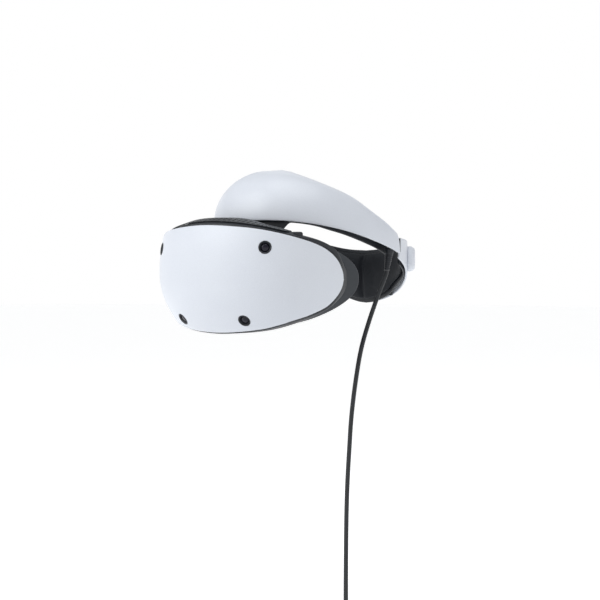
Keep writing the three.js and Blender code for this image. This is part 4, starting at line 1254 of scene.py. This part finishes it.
def make_controls():
    for node, name, body, paint in (
        ("ipd_dial", "eye_distance_dial", "ipd_dial", "black_plastic"),
        ("scope_button", "scope_release", "scope_button", "black_plastic"),
    ):
        low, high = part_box(node)
        x, y = (low.x + high.x) / 2, (low.y + high.y) / 2
        length, radius = high.z - low.z, (high.x - low.x) / 2
        outline = [
            (0, 0), (0.003, 0), (0.003, length - 0.004), (radius, length - 0.004), (radius, length - 0.0012),
            (radius - 0.0012, length), (radius - 0.0022, length),
            (radius - 0.0027, length - 0.0004), (0, length - 0.0004),
        ]
        ripple = knurl(30, 0.0003, radius - 0.0003) if node == "ipd_dial" else None
        cap = turned(name, filleted(outline, 0.0004), (x, y, low.z), (0, 0, 1), 240, ripple)
        settle(cap, paint, body, stands_for=(node,))
    for node, name in (("power_button", "power_key"), ("function_button", "function_key")):
        low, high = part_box(node)
        x, y = (low.x + high.x) / 2, (low.y + high.y) / 2
        length, radius = high.z - low.z, (high.x - low.x) / 2
        outline = [
            (0, 0.0003), (radius - 0.0016, 0.0002), (radius - 0.0006, 0), (radius, 0.0006),
            (radius, length), (0, length),
        ]
        cap = turned(name, filleted(outline, 0.0004), (x, y, low.z), (0, 0, 1), 64)
        settle(cap, "dark_gloss", node, stands_for=(node,))


# ------------------------------------------------------------------ front band


def liner_depth(t):
    return lerp(0.0045, 0.0162, smooth(0.22, 0.36, np.abs(t)))


def liner_drop(t):
    return lerp(0.010, 0.0012, smooth(0.15, 0.19, np.abs(t)))


def dome_point(t, w, depth):
    turn = w * math.pi / 2
    offset = depth + band_lean(t) * (1 - np.cos(turn))
    height = band_upper(t) - band_lower(t) - depth
    return band_point(t, offset, band_lower(t) + height * np.sin(turn))


def liner_point(t, w, depth):
    top_offset = band_lean(t) + 0.001 + 0.0045 * smooth(0.5, 0.56, np.abs(t))
    offset = lerp(liner_depth(t), top_offset, w * w) + depth
    return band_point(t, offset, lerp(band_lower(t) - liner_drop(t), band_upper(t) - 0.004, w))


def along_front(u):
    return lerp(-BAND_SEAM, BAND_SEAM, u)


def make_front_band():
    shell = slab(
        "headband_dome", lambda u, v, depth: dome_point(along_front(u), v, depth),
        BAND_SHELL, 0.0009, np.linspace(0, 1, 241), np.linspace(0, 1, 33),
    )
    down = GLAND_BOTTOM - GLAND_TOP
    notch = plain_rod(GLAND_TOP - 0.1 * down, down, 0.0046, 1.1 * down.length)
    settle(cut(shell, notch), "white_shell", "headband", stands_for=("front_band_shell",))
    lining = slab(
        "headband_lining", lambda u, v, depth: liner_point(along_front(u), v, depth),
        LINER_THICKNESS, 0.0007, np.linspace(0, 1, 201), np.linspace(0, 1, 25),
    )
    settle(lining, "black_plastic", "headband", stands_for=("front_band_liner",))


def make_seam_gaskets():
    """The dark gasket at each end of the front band, in the seam before the rear band."""
    for side, sign in (("left", 1), ("right", -1)):

        def gasket(u, v, depth, sign=sign):
            z = lerp(band_lower(BAND_SEAM) + 0.001, band_upper(BAND_SEAM) - 0.006, v)
            place = band_point(lerp(BAND_SEAM + 0.0012, BAND_SEAM + 0.0065, u), 0.0009 + depth, z)
            return place * np.array([sign, 1, 1])

        piece = slab(
            f"seam_gasket_{side}", gasket, 0.0042, 0.0005, np.linspace(0, 1, 9), np.linspace(0, 1, 21)
        )
        settle(piece, "black_plastic", "headband")


def make_rail():
    """The slide that carries the scope, with a ridged track and two raised runners."""
    low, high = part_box("slide_rail")

    def plate(u, v, depth):
        u, v, depth = np.broadcast_arrays(u, v, depth)
        x = lerp(low.x, high.x, v)
        runner = smooth(0.70, 0.74, np.abs(2 * v - 1)) - smooth(0.86, 0.90, np.abs(2 * v - 1))
        ridge = 0.5 + 0.5 * np.cos(u * 22 * 2 * math.pi)
        inside = (1 - smooth(0.26, 0.3, np.abs(2 * v - 1))) * smooth(0.04, 0.1, u) * smooth(0.04, 0.1, 1 - u)
        track = ridge * inside
        sink = 0.0006 * (1 - np.maximum(runner, track))
        top = high.z - np.where(depth < 0.0009, np.maximum(depth, sink), depth)
        return np.stack([x, lerp(low.y, high.y, u), top], -1)

    rail = slab("scope_rail", plate, 0.0024, 0.0005, np.linspace(0, 1, 177), np.linspace(0, 1, 61))
    settle(rail, "dark_gloss", "headband", stands_for=("slide_rail",))


# ------------------------------------------------------------------ soft pads


FILL_FRAMES = 20


def inflate(piece, sewn, reach, pressure=4.0, cap=0.003, voxel=0.0019):
    """Fills a soft piece by cloth simulation, held where it comes within reach of sewn points."""
    bpy.context.view_layer.update()
    even = piece.modifiers.new("even", "REMESH")
    even.mode = "VOXEL"
    even.voxel_size = voxel
    even.use_smooth_shade = True
    piece.data = bpy.data.meshes.new_from_object(piece.evaluated_get(bpy.context.evaluated_depsgraph_get()))
    piece.modifiers.clear()
    rest = np.array([v.co for v in piece.data.vertices])
    tree = KDTree(len(sewn))
    for k, point in enumerate(sewn):
        tree.insert(point, k)
    tree.balance()
    held = [k for k, point in enumerate(rest) if tree.find(point)[2] < reach]
    group = piece.vertex_groups.new(name="sewn")
    group.add(held, 1.0, "REPLACE")
    cloth = piece.modifiers.new("air", "CLOTH")
    cloth.settings.quality = 6
    cloth.settings.mass = 0.15
    cloth.settings.vertex_group_mass = "sewn"
    cloth.settings.use_pressure = True
    cloth.settings.uniform_pressure_force = pressure
    cloth.settings.effector_weights.gravity = 0
    cloth.point_cache.frame_start = 1
    cloth.point_cache.frame_end = FILL_FRAMES
    for number in range(1, FILL_FRAMES + 1):
        bpy.context.scene.frame_set(number)
    soft = piece.evaluated_get(bpy.context.evaluated_depsgraph_get())
    moved = np.array([v.co for v in soft.data.vertices]) - rest
    size = np.linalg.norm(moved, axis=1, keepdims=True)
    rest = rest + moved * np.minimum(1, cap / np.maximum(size, 1e-9))
    piece.modifiers.clear()
    piece.vertex_groups.clear()
    bpy.context.scene.frame_set(1)
    piece.data.vertices.foreach_set("co", rest.ravel())
    piece.data.shade_smooth()
    finer = piece.modifiers.new("finer", "SUBSURF")
    finer.levels = finer.render_levels = 1


def forehead_surface(u, v, depth):
    """depth is 0 on the liner and 1 on the side of the forehead."""
    t = lerp(-0.27, 0.27, u)
    bulge = 0.003 * np.sin(math.pi * np.clip(u, 0, 1)) * np.sin(math.pi * np.clip(v, 0, 1))
    return liner_point(t, lerp(0.1, 0.86, v), LINER_THICKNESS + 0.0015 + depth * (0.0065 + bulge))


def rear_frame_offset(t):
    return 0.0082 + 0.006 * smooth(0.7, 0.82, folded(t))


def rear_pad_surface(u, v, depth):
    """depth is 0 on the rear frame and 1 on the side of the head."""
    t = lerp(0.66, 1.34, u)
    low, high = rear_lower(folded(t)) + 0.002, rear_upper(folded(t)) - 0.002
    swelling = np.sin(math.pi * np.clip(u, 0, 1)) * np.sin(math.pi * np.clip(v, 0, 1))
    fill = 0.0032 + 0.0053 * np.sqrt(np.maximum(swelling, 0))
    offset = rear_frame_offset(t) + REAR_FRAME + 0.0004 + depth * fill
    return band_point(t, offset, lerp(low, high, v))


PAD_COVER = 0.0065  # thickness the pad's cover is drawn with before it is filled
PAD_SHRINK = 0.985  # of the surface under it


def make_pad(name, surface, seams, body, node):
    """A sewn pad: a cover with grooves at its seams, held there and along its back and filled."""
    def body_surface(u, v, depth):
        groove = 0.0
        for kind, place, width in seams:
            across = u if kind == "u" else v
            groove = groove + np.exp(-(((across - place) / width) ** 2))
        sink = 1 - 0.35 * np.clip(groove, 0, 1)
        inner = np.clip(depth / PAD_COVER, 0, 1)
        return surface(lerp(0.5, u, PAD_SHRINK), lerp(0.5, v, PAD_SHRINK), inner * lerp(1, sink, inner))

    cover = slab(name, body_surface, PAD_COVER, 0.0026, np.linspace(0, 1, 161), np.linspace(0, 1, 31))
    edge = np.linspace(0, 1, 241)
    side = np.linspace(0, 1, 61)
    back = [surface(edge[:, None], side[None, :], 0.0).reshape(-1, 3)]
    for kind, place, _ in seams:
        line = (np.full(241, place), edge) if kind == "u" else (edge, np.full(241, place))
        back.append(surface(*line, 0.68))
    settle(cover, "foam_cover", body, stands_for=(node,))
    inflate(cover, np.vstack(back), 0.0016)


def make_pads():
    make_pad("forehead_cushion", forehead_surface, [("u", 0.5, 0.02)], "headband", "forehead_pad")
    make_pad("rear_cushion", rear_pad_surface, [("u", 0.5, 0.012)], "rear_band", "rear_pad")


# ------------------------------------------------------------------ rear band


def rear_shell_offset(t):
    return 0.003 + 0.002 * smooth(0.62, 0.72, folded(t))


def rear_surface(start, offset, lift):
    """The point function of a strip round the back of the head."""

    def point(u, v, depth):
        t = lerp(start, 2 - start, u)
        low, high = rear_lower(folded(t)) + lift, rear_upper(folded(t)) - lift
        return band_point(t, offset(t, v) + depth, lerp(low, high, v))

    return point


def make_rear_band():
    crowned = rear_surface(REAR_START, lambda t, v: rear_shell_offset(t) + 0.0006 * (2 * v - 1) ** 4, 0)
    shell = slab("rear_cover", crowned, REAR_SHELL, 0.0008, np.linspace(0, 1, 201), np.linspace(0, 1, 29))
    settle(shell, "white_shell", "rear_band", stands_for=("rear_band_shell",))
    boss = [(0.0236, 0), (0.026, 0), (0.0256, 0.008), (0.0240, 0.008), (0.0236, 0.0072), (0.0236, 0)]
    seat = turned("dial_seat", filleted(boss, 0.0006), (0, 0.111, DIAL_Z), (0, 1, 0), 128)
    settle(seat, "white_shell", "rear_band")
    back = turned(
        "dial_seat_floor", [(0.006, 0), (0.0238, 0), (0.0238, 0.0016), (0.006, 0.0016), (0.006, 0)],
        (0, 0.1166, DIAL_Z), (0, 1, 0), 96,
    )
    settle(back, "black_plastic", "rear_band")
    inner = rear_surface(0.645, lambda t, v: rear_frame_offset(t), -FRAME_PROUD)
    along, across = np.linspace(0, 1, 161), np.linspace(0, 1, 13)
    frame_piece = slab("rear_inner_frame", inner, REAR_FRAME, 0.0006, along, across)
    settle(frame_piece, "black_plastic", "rear_band", stands_for=("rear_frame",))


STRAP_TEETH = 40  # along the inner face of each strap


def make_straps():
    """Flat slides that join the rear band to the front band, with ratchet teeth."""
    ts = np.linspace(0.4, 0.72, 801)
    line = band_point(ts, 0.0066, 0.0)
    for side, sign in (("left", 1), ("right", -1)):

        def strap(u, v, depth, sign=sign):
            y = lerp(-0.002, 0.069, u)
            middle = np.minimum(0.0794, np.interp(y, line[:, 1], line[:, 0]))
            z = 0.0318 - 0.378 * (y - 0.057) + 0.011 * (v - 0.5)
            rows = smooth(0.1, 0.2, v) * (1 - smooth(0.3, 0.4, v))
            teeth = (0.5 + 0.5 * np.cos(u * STRAP_TEETH * 2 * math.pi)) * rows
            x = middle + 0.0009 - np.where(depth < 0.0006, np.maximum(depth, 0.0004 * teeth), depth)
            return np.stack(np.broadcast_arrays(sign * x, y, z), -1)

        along, across = np.linspace(0, 1, 241), np.linspace(0, 1, 17)
        piece = slab(f"size_slide_{side}", strap, 0.0018, 0.0004, along, across)
        settle(piece, "dark_gloss", "rear_band", stands_for=(f"strap_{side}",))


def make_dial():
    front, back, radius = 0.1194, 0.130, 0.0245

    def grooves(r, along, angle):
        rise = smooth(0.0128, 0.0142, along + 0.0)
        notch = np.maximum(0, np.cos(18 * angle)) ** 3
        return r - 0.0011 * notch * rise * (r > radius - 0.0035)

    outline = [
        (0, 0), (0.009, 0), (0.009, 0.003), (0.0059, 0.003), (0.0059, front - 0.108), (radius, front - 0.108),
        (radius, 0.0128), (radius, 0.0142), (radius, 0.0160), (radius, 0.0180), (radius, back - 0.1102),
        (radius - 0.0020, back - 0.108), (0.0135, back - 0.108), (0.0128, back - 0.1086),
        (0.0112, back - 0.1086), (0.0108, back - 0.1092), (0.0108, 0.0138), (0, 0.0138),
    ]
    dial = turned("tension_dial", filleted(outline, 0.0006), (0, 0.108, DIAL_Z), (0, 1, 0), 288, grooves)
    settle(dial, "white_shell", "rear_dial", stands_for=("rear_dial",))
    low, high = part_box("release_button")
    r, depth = (high.x - low.x) / 2, high.y - low.y
    cap = [
        (0, 0), (r, 0), (r, depth - 0.0014), (r - 0.0014, depth - 0.0003),
        (r - 0.004, depth - 0.0005), (0, depth - 0.0010),
    ]
    button = turned("release_cap", filleted(cap, 0.0006), (0, low.y, DIAL_Z), (0, 1, 0), 96)
    settle(button, "dark_gloss", "release_button", stands_for=("release_button",))


def make_earbud_holders():
    t, z, radius, proud = 0.722, 0.020, 0.013, 0.0074
    base = band_point(t, rear_shell_offset(t), z)
    outward = base - band_point(t, rear_shell_offset(t) + 0.001, z)
    outward = unit(outward)
    puck = [
        (0, 0.0), (radius, 0.0), (radius, proud - 0.0026),
        (radius - 0.0026, proud + 0.0009), (0.0068, proud + 0.0009),
        (0.0052, proud - 0.0002), (0.0019, proud - 0.0003), (0.0019, proud - 0.004), (0, proud - 0.004),
    ]
    for side, sign in (("left", 1), ("right", -1)):
        flip = np.array([sign, 1, 1])
        piece = turned(
            f"earbud_rest_{side}", filleted(puck, 0.0022),
            (base - outward * 0.0009) * flip, outward * flip, 96,
        )
        settle(piece, "white_shell", "rear_band", stands_for=(f"earbud_holder_{side}",))
        plug = [(0, 0), (0.0018, 0), (0.0018, 0.0012), (0, 0.0012)]
        start = (base + outward * (proud - 0.0047)) * flip
        floor = turned(f"earbud_socket_{side}", plug, start, outward * flip, 32)
        settle(floor, "black_plastic", "rear_band")


def make_jack():
    t = 0.87
    low = float(rear_lower(t))
    bottom, top = band_point(t, 0.0109, low - 0.0006), band_point(t, 0.0109, low + 0.009)
    outline = [
        (0, 0.0076), (0.00175, 0.0076), (0.00175, 0.0003), (0.0021, 0),
        (0.0029, 0), (0.0029, 0.0096), (0, 0.0096),
    ]
    jack = turned("audio_jack", filleted(outline, 0.0002), bottom, top - bottom, 48)
    settle(jack, "dark_gloss", "rear_band", stands_for=("headphone_jack",))


# ------------------------------------------------------------------ CAD nodes that stay


def dress_cad_nodes():
    """The hidden inner parts keep their CAD shape and get a finished material."""
    inner = {
        "main_board": "circuit_board", "fan_housing": "black_plastic", "fan_rotor": "black_plastic",
        "display_left": "dark_gloss", "display_right": "dark_gloss",
    }
    for node, slot in inner.items():
        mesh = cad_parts[node].data
        mesh.materials.clear()
        mesh.materials.append(PAINTS[slot])


# ------------------------------------------------------------------ the scene

make_camera()
PAINTS = make_materials()
make_cord_group()
make_visor()
make_cameras()
make_housing()
make_vents()
make_lens_plate()
make_light_shield()
make_screws()
make_optics()
make_controls()
make_front_band()
make_seam_gaskets()
make_rail()
make_rear_band()
make_straps()
make_dial()
make_earbud_holders()
make_jack()
make_pads()
dress_cad_nodes()
make_lights()
make_world()
make_stage()
